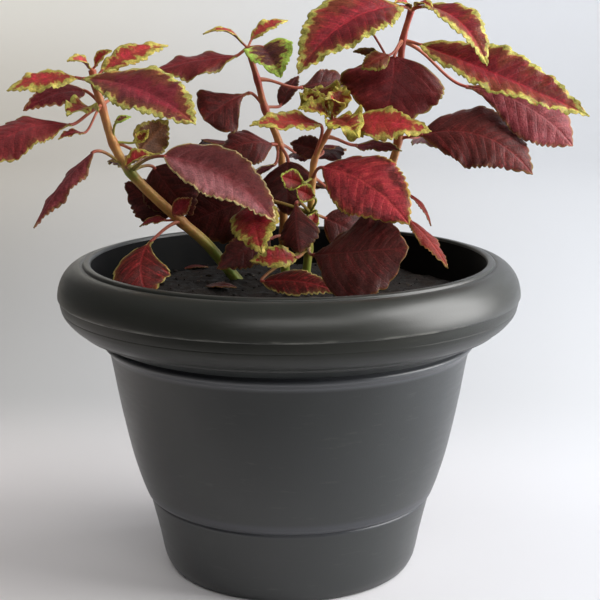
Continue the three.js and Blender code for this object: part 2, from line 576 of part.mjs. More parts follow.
function buildSoil() {
  const wall = [FLOOR + FIT_GAP, ...INNER_HEIGHTS.slice().reverse()];
  const profile = [
    [0, FLOOR + FIT_GAP],
    ...wall.map((z) => [innerRadius(z) - FIT_GAP, z]),
    [innerRadius(SOIL_Z - SOIL_EDGE_DROP) - FIT_GAP - 0.4, SOIL_Z - SOIL_EDGE_DROP],
    ...SOIL_RINGS.map((r) => [r, SOIL_Z]),
    [0, SOIL_Z],
  ];
  const lathe = new THREE.LatheGeometry(profile.map(([r, z]) => new THREE.Vector2(r, z)), POT_SIDES);
  lathe.rotateX(Math.PI / 2);
  const position = lathe.attributes.position;
  for (let i = 0; i < position.count; i += 1) {
    if (position.getZ(i) > SOIL_Z - 1) {
      position.setZ(i, position.getZ(i) + soilLump(position.getX(i), position.getY(i)));
    }
  }
  let soil = toSolid(lathe);
  for (const stem of Object.values(STEMS)) {
    const half = stem.thickness[0] / 2 + HOLE_PLAY;
    const hole = buildTube(stemCurve(stem, HOLE_DEPTH + FIT_GAP), half, half, STEM_SIDES, STEM_STEPS);
    soil = soil.subtract(toSolid(hole));
  }
  return piece('soil', toGeometry(soil), 'soil');
}

// ---------------------------------------------------------------- the whole plant

const group = new THREE.Group();
group.add(buildPot(), buildSoil());
for (const [name, stem] of Object.entries(STEMS)) {
  group.add(buildStem(name, stem));
  stem.leaves.forEach((leaf, i) => {
    group.add(piece(`${name}_leaf_${i + 1}`, buildBlade(leaf), leaf.slot));
  });
}
FALLEN.forEach((leaf, i) => {
  group.add(piece(`fallen_leaf_${i + 1}`, buildBlade(leaf), leaf.slot));
});

export default group;
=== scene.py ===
"""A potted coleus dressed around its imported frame: a moulded pot, soil, squared stems and toothed leaves.

Metres, +Z up. The pot's flat base stands on z = 0 and the front of the plant looks towards -Y.
"""
import math
import random

import bpy
import numpy as np
from mathutils import Matrix, Vector, noise


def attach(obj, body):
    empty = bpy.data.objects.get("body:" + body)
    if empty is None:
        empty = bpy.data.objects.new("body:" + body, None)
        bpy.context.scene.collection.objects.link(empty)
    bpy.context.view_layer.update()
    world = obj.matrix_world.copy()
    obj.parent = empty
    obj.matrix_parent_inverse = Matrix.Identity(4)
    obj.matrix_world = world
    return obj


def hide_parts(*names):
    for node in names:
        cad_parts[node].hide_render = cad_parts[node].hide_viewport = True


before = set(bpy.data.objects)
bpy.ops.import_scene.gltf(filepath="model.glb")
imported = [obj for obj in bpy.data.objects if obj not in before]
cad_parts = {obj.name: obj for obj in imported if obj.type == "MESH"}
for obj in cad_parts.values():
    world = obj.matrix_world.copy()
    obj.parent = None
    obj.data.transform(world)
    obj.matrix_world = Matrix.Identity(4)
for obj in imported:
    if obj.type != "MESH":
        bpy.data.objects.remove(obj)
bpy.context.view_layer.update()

MM = 0.001
IMAGE_SIDE = 600

# ---------- camera, light and floor

CAMERA_PLACE = (0.0, -0.720, 0.2998)
CAMERA_PITCH = math.radians(11.971)
CAMERA_ROLL = math.radians(-0.235)
CAMERA_FOCUS_PX = 1342.9
CAMERA_AXIS_PX = 288.99
CAMERA_NEAR = 0.01
SENSOR_WIDTH = 36.0


def make_camera():
    data = bpy.data.cameras.new("camera")
    data.sensor_width = SENSOR_WIDTH
    data.lens = CAMERA_FOCUS_PX / IMAGE_SIDE * SENSOR_WIDTH
    data.shift_x = (IMAGE_SIDE / 2 - CAMERA_AXIS_PX) / IMAGE_SIDE
    data.clip_start = CAMERA_NEAR
    camera = bpy.data.objects.new("camera", data)
    bpy.context.scene.collection.objects.link(camera)
    tilt = Matrix.Rotation(math.pi / 2 - CAMERA_PITCH, 4, "X")
    roll = Matrix.Rotation(CAMERA_ROLL, 4, "Z")
    camera.matrix_world = Matrix.Translation(CAMERA_PLACE) @ tilt @ roll
    bpy.context.scene.camera = camera


WARM_WHITE = (1.0, 0.985, 0.96)
# Each light's name, place, target, width and height, power, colour, and whether gloss mirrors it.
LIGHTS = [
    ("window", (1.15, -0.15, 0.72), (0, 0, 0.2), (1.1, 1.44), 34, (1.0, 0.995, 0.985), True),
    ("front_window", (0.2, -1.45, 1.4), (0, 0, 0.2), (1.6, 0.5), 7.5, (1.0, 0.99, 0.96), True),
    ("backdrop", (1.3, 1.0, 1.5), (0.3, 2.8, 0.6), (1.0, 0.8), 20, (0.97, 0.985, 1.0), True),
    ("left_backdrop", (-0.7, 1.1, 1.6), (-0.7, 2.8, 0.9), (0.9, 0.8), 6, WARM_WHITE, False),
    ("ceiling", (-0.6, 0.2, 2.2), (-0.1, 0, 0), (2.4, 2.4), 3.5, WARM_WHITE, False),
    ("high_fill", (-0.5, 0.2, 2.3), (-0.1, 0, 0), (2.0, 2.0), 4, WARM_WHITE, False),
    ("left_fill", (-1.0, 0.3, 1.5), (-0.25, 0.1, 0), (0.8, 0.8), 4, (1.0, 0.985, 0.97), False),
]
ROOM_COLOUR = (0.95, 0.965, 1.0, 1)
ROOM_STRENGTH_LOW = 0.34
ROOM_STRENGTH_HIGH = 0.14


def soft_light(name, place, target, size, power, colour, mirrored):
    """An area light. One that isn't mirrored lights surfaces but doesn't show in their gloss."""
    data = bpy.data.lights.new(name, "AREA")
    data.shape = "RECTANGLE"
    data.size, data.size_y = size
    data.energy = power
    data.color = colour
    light = bpy.data.objects.new(name, data)
    bpy.context.scene.collection.objects.link(light)
    aim = Vector(target) - Vector(place)
    light.location = place
    light.visible_camera = False
    light.visible_glossy = mirrored
    light.rotation_euler = aim.to_track_quat("-Z", "Y").to_euler()


def make_lights():
    for light in LIGHTS:
        soft_light(*light)
    scene = bpy.context.scene
    scene.world = room_light()
    scene.view_settings.view_transform = "Standard"
    scene.view_settings.look = "None"


def room_light():
    """Dim light from all round, brightest near the level of the floor and darker overhead."""
    world = bpy.data.worlds.new("room_light")
    world.use_nodes = True
    height = place_axes(world.node_tree, "Generated")["Z"]
    strength = ramp(height, -0.1, 0.8, ROOM_STRENGTH_LOW, ROOM_STRENGTH_HIGH)
    fill(world.node_tree.nodes["Background"], {"Color": ROOM_COLOUR, "Strength": strength})
    return world


# Radii of the rings on the floor's flat part.
STAGE_RINGS = (0.0, 0.4, 1.2)
STAGE_FLAT_RADIUS = 2.1
COVE_RADIUS = 3.0
COVE_HEIGHT = 2.4
COVE_STEPS = 12
STAGE_SIDES = 96


def make_floor():
    """A pale floor that curves up into a round wall far from the pot."""
    bend = COVE_RADIUS - STAGE_FLAT_RADIUS
    profile = [(r, 0.0) for r in STAGE_RINGS]
    for i in range(COVE_STEPS + 1):
        turn = math.pi / 2 * i / COVE_STEPS
        profile.append((STAGE_FLAT_RADIUS + bend * math.sin(turn), bend * (1 - math.cos(turn))))
    profile.append((COVE_RADIUS, COVE_HEIGHT))
    floor = add_object("floor", lathe_mesh("floor", profile, STAGE_SIDES), [floor_material()])


# ---------- meshes

def build_mesh(name, points, faces, attributes=None, materials=None):
    """A smooth shaded mesh from point and face lists, with float point attributes and material numbers."""
    mesh = bpy.data.meshes.new(name)
    mesh.from_pydata([tuple(p) for p in points], [], [tuple(f) for f in faces])
    mesh.polygons.foreach_set("use_smooth", [True] * len(mesh.polygons))
    if materials is not None:
        mesh.polygons.foreach_set("material_index", np.asarray(materials, dtype=np.int32))
    for key, values in (attributes or {}).items():
        layer = mesh.attributes.new(key, "FLOAT", "POINT")
        layer.data.foreach_set("value", np.asarray(values, dtype=np.float32))
    mesh.update()
    return mesh


def add_object(name, mesh, materials):
    thing = bpy.data.objects.new(name, mesh)
    bpy.context.scene.collection.objects.link(thing)
    for material in materials:
        thing.data.materials.append(material)
    return thing


def add_piece(name, mesh, materials, nodes=()):
    piece = add_object(name, mesh, materials)
    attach(piece, "root")
    if nodes:
        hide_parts(*nodes)
    return piece


def circle(r, z, sides, shift=0.0):
    """Points of a level ring, turned by a share of the step from one point to the next."""
    turns = (2 * math.pi * (k + shift) / sides for k in range(sides))
    return [(r * math.cos(turn), r * math.sin(turn), z) for turn in turns]


def skin(rings):
    """Faces that join each ring of vertex numbers to the next. A ring may be one vertex repeated."""
    faces = []
    for lower, upper in zip(rings, rings[1:]):
        for k in range(len(lower)):
            n = (k + 1) % len(lower)
            faces.append(tuple(dict.fromkeys((lower[k], lower[n], upper[n], upper[k]))))
    return [face for face in faces if len(face) > 2]


def lathe_mesh(name, profile, sides):
    """Turns a profile of radius and height about Z. Points on the axis become one vertex."""
    points, rings = [], []
    for r, z in profile:
        start = len(points)
        points += circle(r, z, sides) if r else [(0.0, 0.0, z)]
        rings.append(range(start, start + sides) if r else [start] * sides)
    return build_mesh(name, points, skin(rings))


def spline(points, per_span):
    """A centripetal Catmull-Rom curve through the points, sampled per_span times between each pair."""
    pts = [np.asarray(p, dtype=float) for p in points]
    ends = [2 * pts[0] - pts[1]] + pts + [2 * pts[-1] - pts[-2]]
    curve = []
    for i in range(1, len(ends) - 2):
        p0, p1, p2, p3 = ends[i - 1:i + 3]
        d0, d1, d2 = (max(np.linalg.norm(b - a), 1e-9) ** 0.5 for a, b in ((p0, p1), (p1, p2), (p2, p3)))
        m1 = ((p1 - p0) / d0 - (p2 - p0) / (d0 + d1) + (p2 - p1) / d1) * d1
        m2 = ((p2 - p1) / d1 - (p3 - p1) / (d1 + d2) + (p3 - p2) / d2) * d1
        for k in range(per_span):
            t = k / per_span
            h = (2 * t**3 - 3 * t**2 + 1, t**3 - 2 * t**2 + t, 3 * t**2 - 2 * t**3, t**3 - t**2)
            curve.append(h[0] * p1 + h[1] * m1 + h[2] * p2 + h[3] * m2)
    curve.append(pts[-1])
    return np.array(curve)


def unit(v):
    return v / max(np.linalg.norm(v), 1e-12)


# The direction that the first side of a tube is squared to.
TUBE_GUIDE = (0.31, 0.95, 0.05)


def tube(path, halves, sides, squareness):
    """Points and faces of a closed tube along a path. Its section runs from round (2) to square (over 4)."""
    steps = np.gradient(path, axis=0)
    side = unit(np.cross(steps[0], TUBE_GUIDE))
    turns = (np.arange(sides)[:, None] + 0.5) / sides * 2 * math.pi
    cosine, sine = np.cos(turns), np.sin(turns)
    shape = (np.abs(cosine) ** squareness + np.abs(sine) ** squareness) ** (-1 / squareness)
    points = []
    for centre, step, half in zip(path, steps, halves):
        along = unit(step)
        side = unit(side - along * side.dot(along))
        points.extend(centre + half * shape * (cosine * side + sine * np.cross(along, side)))
    rings = [range(start, start + sides) for start in range(0, len(points), sides)]
    return points, skin(rings) + [tuple(reversed(rings[0])), tuple(rings[-1])]


# ---------- node tools

def rgb(red, green, blue):
    """A linear colour from the usual 0 to 255 screen values."""
    screen = [c / 255 for c in (red, green, blue)]
    return (*(c / 12.92 if c <= 0.04045 else ((c + 0.055) / 1.055) ** 2.4 for c in screen), 1.0)


def new_material(name):
    material = bpy.data.materials.new(name)
    material.use_nodes = True
    return material, material.node_tree, material.node_tree.nodes["Principled BSDF"]


def fill(node, values):
    """Links each input of a node to a socket, or sets it to a value."""
    for key, value in values.items():
        if isinstance(value, bpy.types.NodeSocket):
            node.id_data.links.new(value, node.inputs[key])
        else:
            node.inputs[key].default_value = value
    return node


def add_node(tree, kind, values=None, **settings):
    node = tree.nodes.new("ShaderNode" + kind)
    for key, value in settings.items():
        setattr(node, key, value)
    return fill(node, values or {})


def next_node(kind, values, **settings):
    """A node made in the tree of the sockets that feed it."""
    tree = next(value.id_data for value in values.values() if isinstance(value, bpy.types.NodeSocket))
    return add_node(tree, kind, values, **settings)


def math_node(operation, *values, clamp=False):
    return next_node("Math", dict(enumerate(values)), operation=operation, use_clamp=clamp).outputs[0]


def plus(a, b, clamp=False):
    return math_node("ADD", a, b, clamp=clamp)


def minus(a, b, clamp=False):
    return math_node("SUBTRACT", a, b, clamp=clamp)


def times(a, b, clamp=False):
    return math_node("MULTIPLY", a, b, clamp=clamp)


def scaled(value, factor, start):
    """A value times a factor, counted from a start."""
    return math_node("MULTIPLY_ADD", value, factor, start)


def centred(value):
    """A value from 0 to 1 moved to lie about nought."""
    return minus(value, 0.5)


def ramp(value, low, high, low_out=0.0, high_out=1.0):
    """A smooth step of value from low to high."""
    values = {"Value": value, "From Min": low, "From Max": high, "To Min": low_out, "To Max": high_out}
    return next_node("MapRange", values, interpolation_type="SMOOTHSTEP").outputs["Result"]


def band(value, rise, fall):
    """One between a rising and a falling edge, each given as its start and end, and nought outside."""
    return times(ramp(value, *rise), ramp(value, *fall, 1.0, 0.0))


def mix(share, a, b):
    return next_node("Mix", {0: share, 6: a, 7: b}, data_type="RGBA", clamp_factor=True).outputs[2]


def noise_over(place, scale, detail, roughness):
    values = {"Vector": place, "Scale": scale, "Detail": detail, "Roughness": roughness}
    return next_node("TexNoise", values).outputs["Fac"]


def object_noise(tree, scale, detail=3.0, roughness=0.5, stretch=(1, 1, 1)):
    place = add_node(tree, "TexCoord").outputs["Object"]
    stretched = next_node("Mapping", {"Vector": place, "Scale": stretch}).outputs[0]
    return noise_over(stretched, scale, detail, roughness)


def place_noise(x, y, z, scale, detail, roughness):
    """Noise over three values that already say where on the surface a point is."""
    return noise_over(next_node("CombineXYZ", {0: x, 1: y, 2: z}).outputs[0], scale, detail, roughness)


def place_axes(tree, kind="Object"):
    """Each point's X, Y and Z."""
    return next_node("SeparateXYZ", {"Vector": add_node(tree, "TexCoord").outputs[kind]}).outputs


def attributes_of(tree, *names):
    return [add_node(tree, "Attribute", attribute_name=name).outputs["Fac"] for name in names]


def bump(height, strength, distance):
    values = {"Height": height, "Strength": strength, "Distance": distance}
    return next_node("Bump", values).outputs["Normal"]


def new_group(name, inputs, outputs):
    """A shader node group with its named sockets. Returns the group, its input and its output node."""
    group = bpy.data.node_groups.new(name, "ShaderNodeTree")
    for sockets, way in ((inputs, "INPUT"), (outputs, "OUTPUT")):
        for socket, kind in sockets:
            group.interface.new_socket(socket, in_out=way, socket_type="NodeSocket" + kind)
    return group, group.nodes.new("NodeGroupInput"), group.nodes.new("NodeGroupOutput")


# ---------- leaf materials

BLADE_COLOURS = ("Field", "Centre", "Streak", "Margin", "Under")
BLADE_AMOUNTS = ("Centre Reach", "Margin Width", "Streak Strength", "Mottle", "Painted Shade Half")
WINE_SHADOW = (44, 20, 18)
# How far apart in the noise two blades' patches lie.
TINT_SPREAD = 31.0


def make_blade_pattern():
    """Colour, roughness and relief of a coleus blade from its veins, its midrib and its margin, with painted
    shade on one half.
    """
    tree, start, end = new_group(
        "blade_pattern",
        [(name, "Color") for name in BLADE_COLOURS] + [(name, "Float") for name in BLADE_AMOUNTS],
        [("Color", "Color"), ("Roughness", "Float"), ("Height", "Float")])
    give = start.outputs
    phase, pitch, rib, cross = attributes_of(tree, "vein_phase", "vein_pitch", "rib_distance", "cross")
    margin, along, under, tint = attributes_of(tree, "margin_distance", "along", "under", "tint")
    tint = times(tint, TINT_SPREAD)
    share = math_node("ABSOLUTE", cross)
    blotch = centred(object_noise(tree, 260.0, 4.0, 0.65))
    fine = centred(object_noise(tree, 1000.0, 3.0, 0.6))
    streak = place_noise(phase, times(cross, 0.7), tint, 2.6, 5.0, 0.62)
    patch = place_noise(times(along, 2.2), cross, tint, 1.9, 4.0, 0.6)
    rag = place_noise(times(along, 9.0), cross, tint, 1.0, 3.0, 0.6)

    # Lateral veins, thinning towards the margin, and the midrib.
    off_vein = math_node("ABSOLUTE", centred(math_node("FRACT", phase)))
    vein_half = ramp(share, 0.1, 1.0, 0.5, 0.2)
    vein_line = minus(1.0, math_node("DIVIDE", times(off_vein, pitch), vein_half), clamp=True)
    veins = math_node("MAXIMUM", vein_line, ramp(rib, 0.3, 0.8, 1.0, 0.0))

    # The coloured field reaches furthest out along the veins, and its edge is ragged.
    swing = scaled(centred(rag), 4.4, 1.0)
    width = math_node("MAXIMUM", times(give["Margin Width"], swing), 0.12)
    depth_in = math_node("DIVIDE", margin, width)
    loose = plus(times(minus(0.26, off_vein), 0.8), times(blotch, 1.5))
    inside = ramp(plus(depth_in, loose), 0.7, 1.25)
    between = minus(1.0, math_node("ABSOLUTE", times(centred(inside), 2.0)))

    # The brighter centre fades outwards, red streaks follow the veins and dark patches lie between them.
    spread = plus(share, times(centred(streak), 0.7))
    off_centre = ramp(minus(spread, give["Centre Reach"]), -0.25, 0.3)
    colour = mix(off_centre, give["Centre"], give["Field"])
    streaks = math_node("MAXIMUM", ramp(streak, 0.48, 0.72), times(veins, 0.6))
    colour = mix(times(streaks, give["Streak Strength"]), colour, give["Streak"])
    shadowed = times(ramp(patch, 0.5, 0.72), give["Mottle"], clamp=True)
    colour = mix(shadowed, colour, mix(0.6, colour, rgb(*WINE_SHADOW)))
    # Painted shade: the half to the left of the midrib is darkened towards a shaded wine colour.
    half = times(ramp(cross, -0.15, 0.3), give["Painted Shade Half"])
    colour = mix(half, colour, mix(0.4, give["Centre"], rgb(*WINE_SHADOW)))
    brown = mix(0.6, colour, rgb(118, 76, 42))
    colour = mix(ramp(depth_in, 1.0, 4.2, 0.85, 0.12), colour, brown)

    # The margin is mottled with olive and rust, and a tan line lies where it meets the field.
    olive = mix(0.55, give["Margin"], rgb(118, 112, 42))
    edge_colour = mix(ramp(blotch, -0.12, 0.14), olive, give["Margin"])
    rusty = ramp(centred(streak), 0.02, 0.2, 0.0, 0.6)
    edge_colour = mix(rusty, edge_colour, rgb(184, 108, 58))
    colour = mix(inside, edge_colour, colour)
    colour = mix(times(between, 0.45), colour, rgb(172, 98, 50))

    below = mix(times(veins, 0.4), give["Under"], give["Streak"])
    colour = mix(under, colour, mix(inside, give["Margin"], below))
    tone = scaled(plus(times(fine, 1.4), blotch), 1.15, 1.0)
    toned = next_node("HueSaturation", {"Color": colour, "Hue": 0.496, "Value": tone})
    rough = plus(times(fine, 0.3), scaled(centred(patch), 0.25, 0.46))

    # Small puffed cells between the veins, which lie sunk.
    place = add_node(tree, "TexCoord").outputs["Object"]
    cells = next_node("TexVoronoi", {"Vector": place, "Scale": 560.0}, feature="DISTANCE_TO_EDGE")
    puffed = ramp(cells.outputs["Distance"], 0.0, 0.3, 0.0, 0.6)
    relief = minus(puffed, times(veins, 0.9))
    fill(end, {"Color": toned.outputs["Color"], "Roughness": rough, "Height": relief})
    return tree


# Each look's colours: field, centre along the midrib, streaks, margin and underside, then how far the centre
# reaches, the margin's width in millimetres, the strength of the streaks and of the dark patches.
LOOKS = {
    "bright": ((166, 50, 46), (188, 46, 54), (210, 94, 76), (200, 186, 92), (130, 78, 62),
               0.5, 3.3, 0.5, 0.3),
    "edged": ((104, 22, 24), (122, 24, 32), (188, 44, 50), (190, 184, 92), (126, 64, 58), 0.4, 3.1, 0.9, 0.7),
    "dusky": ((90, 36, 40), (132, 32, 44), (144, 54, 60), (184, 178, 94), (126, 64, 58), 0.36, 2.9, 0.8, 0.8),
    "plum": ((108, 34, 34), (122, 36, 40), (160, 54, 54), (162, 146, 76), (116, 56, 56), 0.4, 0.9, 0.8, 0.6),
    "red": ((118, 34, 27), (130, 38, 30), (164, 66, 46), (144, 112, 56), (110, 52, 40), 0.4, 0.5, 0.6, 0.4),
    "frill": ((150, 58, 44), (136, 34, 36), (176, 84, 52), (198, 188, 82), (156, 136, 66),
              0.34, 4.4, 0.5, 0.3),
    "olive": ((120, 64, 40), (128, 46, 38), (144, 90, 52), (150, 136, 62), (108, 72, 48),
              0.35, 1.7, 0.5, 0.4),
    "lime": ((74, 26, 40), (62, 22, 34), (112, 44, 56), (162, 198, 80), (138, 172, 78), 0.34, 4.6, 0.5, 0.3),
    # The mauve look's pale pinkish field is partly painted sheen, and its other half is darkened with painted
    # shade.
    "mauve": ((148, 92, 94), (116, 46, 48), (172, 88, 94), (212, 192, 136), (124, 64, 66),
              0.2, 1.0, 0.6, 0.5),
    "wine": ((68, 21, 21), (94, 29, 27), (160, 50, 48), (180, 166, 98), (108, 50, 48), 0.4, 0.8, 0.9, 0.6),
    "crimson": ((128, 42, 44), (164, 44, 50), (204, 78, 72), (176, 144, 68), (118, 58, 54),
                0.5, 0.8, 0.9, 1.7),
    "maroon": ((84, 33, 32), (92, 36, 35), (146, 52, 50), (124, 88, 58), (96, 48, 46), 0.4, 0.5, 0.8, 0.6),
    "dark": ((66, 26, 26), (74, 29, 28), (116, 43, 42), (104, 72, 48), (80, 38, 38), 0.4, 0.4, 0.8, 0.6),
    "rose": ((138, 58, 64), (122, 46, 50), (170, 84, 86), (160, 112, 92), (134, 72, 78), 0.4, 0.7, 0.8, 0.6),
    "ruby": ((156, 40, 46), (168, 46, 54), (188, 72, 72), (196, 142, 96), (150, 54, 56), 0.4, 1.3, 0.6, 0.4),
    "ring": ((118, 34, 32), (144, 34, 38), (164, 70, 50), (176, 190, 80), (140, 160, 78), 0.5, 1.6, 0.5, 0.4),
}
BLADE_SHEEN = 0.01
BLADE_SPECULAR = 0.22
# Painted shade: how far the half to the left of the midrib, looking from the stalk to the tip, is darkened
# towards a shaded centre colour.
PAINTED_SHADE_HALF = {"mauve": 0.9, "maroon": 0.4, "edged": 0.35, "dusky": 0.6, "plum": 0.35}


def blade_material(look, pattern):
    row = LOOKS[look]
    material, tree, shader = new_material("blade_" + look)
    values = {name: rgb(*colour) for name, colour in zip(BLADE_COLOURS, row)}
    values.update(zip(BLADE_AMOUNTS, row[len(BLADE_COLOURS):] + (PAINTED_SHADE_HALF.get(look, 0.0),)))
    made = add_node(tree, "Group", values, node_tree=pattern).outputs
    fill(shader, {"Base Color": made["Color"], "Roughness": made["Roughness"], "Sheen Weight": BLADE_SHEEN,
                  "Specular IOR Level": BLADE_SPECULAR, "Normal": bump(made["Height"], 0.5, 0.22 * MM)})
    return material


# ---------- other materials

def floor_material():
    """Pale board with painted light: lighter towards the right, a near and a far part, the back, the wall and
    painted shade at the ends.
    """
    material, tree, shader = new_material("pale_floor")
    place = place_axes(tree)
    # Painted light: each part below is coloured lighter towards the right and darker towards the left.
    painted_light_side = ramp(place["X"], -0.8, 0.6)
    near = mix(painted_light_side, rgb(255, 245, 239), rgb(206, 211, 220))
    far = mix(painted_light_side, rgb(150, 146, 139), rgb(216, 219, 225))
    back = mix(painted_light_side, rgb(206, 200, 190), rgb(228, 230, 234))
    wall = mix(painted_light_side, rgb(241, 238, 230), rgb(240, 242, 247))
    # Painted shade: darker colours for the front and left ends of the floor and wall.
    shade = mix(painted_light_side, rgb(114, 113, 112), rgb(172, 172, 174))
    colour = mix(ramp(place["Y"], 0.05, 0.35), near, far)
    colour = mix(ramp(place["Y"], 0.5, 2.0), colour, back)
    colour = mix(ramp(place["Z"], 0.02, 0.4), colour, wall)
    colour = mix(ramp(place["Y"], -0.32, -0.07, 1.0, 0.0), colour, shade)
    colour = mix(ramp(place["X"], -1.8, -0.8, 1.0, 0.0), colour, shade)
    fill(shader, {"Base Color": colour, "Roughness": 0.75})
    return material


PLASTIC_SPECULAR = 0.68
UNDERSIDE_SPECULAR = 0.34
# Heights of the painted highlights on the step and on the bead, which lighten where shade falls, and where
# the parting line is worn: rise, then fall.
STEP_PAINTED_HIGHLIGHT = ((0.0385, 0.0415), (0.0455, 0.0485))
BEAD_PAINTED_HIGHLIGHT = ((0.1215, 0.1235), (0.129, 0.131))
WORN_LINE = ((0.1524, 0.1529), (0.1532, 0.1546))


def clouded_material(name, scale, detail, edges, dark, light, values):
    """A material clouded between a dark and a light colour."""
    material, tree, shader = new_material(name)
    cloud = ramp(object_noise(tree, scale, detail), *edges)
    fill(shader, {"Base Color": mix(cloud, rgb(*dark), rgb(*light)), **values})
    return material


def inside_material():
    """The pot's inner face, dull and darkened with painted shade."""
    return clouded_material("shade_painted_plastic", 70.0, 4.0, (0.4, 0.7), (6, 7, 7), (13, 12, 11),
                            {"Roughness": 0.6, "Specular IOR Level": 0.1})


def chip_material():
    return clouded_material("bark_and_grit", 90.0, 2.0, (0.4, 0.62), (88, 66, 48), (150, 138, 118),
                            {"Roughness": 0.85})


def plastic_material(name, specular):
    """Dark satin plastic with a fine grain, faint scuffs, painted highlights on its ledges and a worn parting
    line.
    """
    material, tree, shader = new_material(name)
    broad = object_noise(tree, 14.0, 4.0)
    streaks = object_noise(tree, 60.0, 4.0, 0.65, stretch=(1, 1, 7))
    grain = object_noise(tree, 1500.0, 2.0)
    height = place_axes(tree)["Z"]
    colour = mix(ramp(broad, 0.35, 0.65), rgb(33, 36, 36), rgb(39, 42, 42))
    colour = mix(ramp(streaks, 0.58, 0.76, 0.0, 0.4), colour, rgb(70, 72, 68))
    warm = mix(0.6, colour, rgb(42, 42, 34))
    colour = mix(ramp(height, 0.128, 0.150), colour, warm)
    # Painted highlight: the bead, which lies in the rim's shade, is lightened.
    colour = mix(times(band(height, *BEAD_PAINTED_HIGHLIGHT), 0.8), colour, rgb(78, 80, 84))
    # Painted highlight: a pale bluish band lightens the dark line at the step.
    colour = mix(times(band(height, *STEP_PAINTED_HIGHLIGHT), 0.55), colour, rgb(62, 64, 72))
    worn_off = times(band(height, *WORN_LINE), ramp(streaks, 0.42, 0.66))
    colour = mix(times(worn_off, 0.55), colour, rgb(128, 128, 120))
    rough = plus(ramp(height, 0.132, 0.140, 0.28, 0.29), times(streaks, 0.14))
    fill(shader, {"Base Color": colour, "Roughness": rough, "Specular IOR Level": specular,
                  "Normal": bump(grain, 0.35, 0.12 * MM)})
    return material


def soil_material():
    material, tree, shader = new_material("potting_soil")
    clod = object_noise(tree, 160.0, 5.0, 0.65)
    speck = object_noise(tree, 700.0, 3.0, 0.6)
    colour = mix(ramp(clod, 0.35, 0.68), rgb(16, 13, 11), rgb(40, 31, 25))
    colour = mix(ramp(speck, 0.62, 0.74, 0.0, 0.7), colour, rgb(72, 60, 48))
    height = plus(clod, times(speck, 0.4))
    fill(shader, {"Base Color": colour, "Roughness": ramp(clod, 0.3, 0.6, 0.62, 0.95),
                  "Normal": bump(height, 0.8, 1.2 * MM)})
    return material


def stem_material():
    """Tan stem with green near the soil and at the nodes, a red blush, and fine lengthwise ridges."""
    material, tree, shader = new_material("stem_skin")
    green, blush, ridge = attributes_of(tree, "green", "blush", "ridge")
    cloud = object_noise(tree, 130.0, 3.0, 0.55)
    fleck = object_noise(tree, 520.0, 3.0, 0.6)
    strand = ramp(object_noise(tree, 420.0, 3.0, 0.6, stretch=(1, 1, 0.16)), 0.38, 0.62)
    tan = mix(cloud, rgb(220, 152, 62), rgb(242, 200, 122))
    rosy = mix(cloud, rgb(140, 34, 40), rgb(186, 66, 64))
    leafy = mix(cloud, rgb(112, 136, 40), rgb(168, 180, 76))
    mixed = times(centred(fleck), 0.8)
    colour = mix(times(strand, 0.35), tan, rgb(206, 112, 74))
    colour = mix(plus(blush, mixed, clamp=True), colour, rosy)
    colour = mix(plus(green, mixed, clamp=True), colour, leafy)
    furrow = mix(0.28, colour, rgb(150, 76, 50))
    colour = mix(ramp(ridge, 0.0, 0.6), furrow, colour)
    fill(shader, {"Base Color": colour, "Roughness": 0.48, "Sheen Weight": 0.1,
                  "Normal": bump(fleck, 0.35, 0.2 * MM)})
    return material


# ---------- pot

POT_SIDES = 192
WALL = 2.4 * MM
FLOOR = 3.0 * MM
DRAIN_RADIUS = 5.0 * MM
DRAIN_RING = 42.0 * MM
DRAIN_COUNT = 4
DRAIN_SIDES = 32

# Runs of the pot's profile in millimetres, as radius and height. A curved run is drawn as a smooth curve.
FOOT_AND_BODY = [
    (62, 0), (65.6, 0.1), (67.6, 0.8), (68.8, 2.6), (70.4, 6), (73.3, 20), (76.7, 34.5), (77.9, 39.6),
]
STEP = [
    (78.1, 40.7), (77.8, 41.1), (77.9, 41.7), (78.7, 42.1), (79.7, 42.7),
]
UPPER_BODY = [
    (80.4, 44.4), (82.3, 49.5), (86.7, 64), (90.6, 81.2), (94.0, 98.5), (96.9, 115.7), (98.0, 121.4),
]
BEAD = [
    (98.3, 122.8), (98.7, 124.0), (100.0, 125.2), (101.2, 126.4), (101.5, 127.4), (101.0, 128.5),
    (99.9, 129.2), (99.4, 130.4), (99.7, 131.8),
]
RIM_HOLLOW = [
    (100.3, 133.0), (102.0, 133.0), (107.6, 135.6), (113.4, 139.0), (119.0, 143.5), (121.0, 147.0),
    (121.7, 153.0), (121.0, 158.0), (118.0, 163.4), (113.0, 167.2), (109.0, 167.3), (108.6, 166.6),
]
RIM_HOLLOW_BACK = [
    (103.0, 135.5), (101.0, 133.9),
]
RIM_UNDERSIDE = [
    (101.7, 130.4), (104.6, 131.8), (107.4, 133.4), (111.0, 135.2), (113.3, 136.3), (113.9, 136.3),
    (114.7, 137.3), (117.2, 139.0), (119.4, 141.0),
]
RIM_LOWER_FACE = [
    (120.9, 142.7), (122.4, 144.8), (123.2, 146.6), (123.35, 147.2), (123.3, 147.5), (123.5, 147.9),
    (124.0, 149.8), (124.2, 151.8), (124.25, 152.7),
]
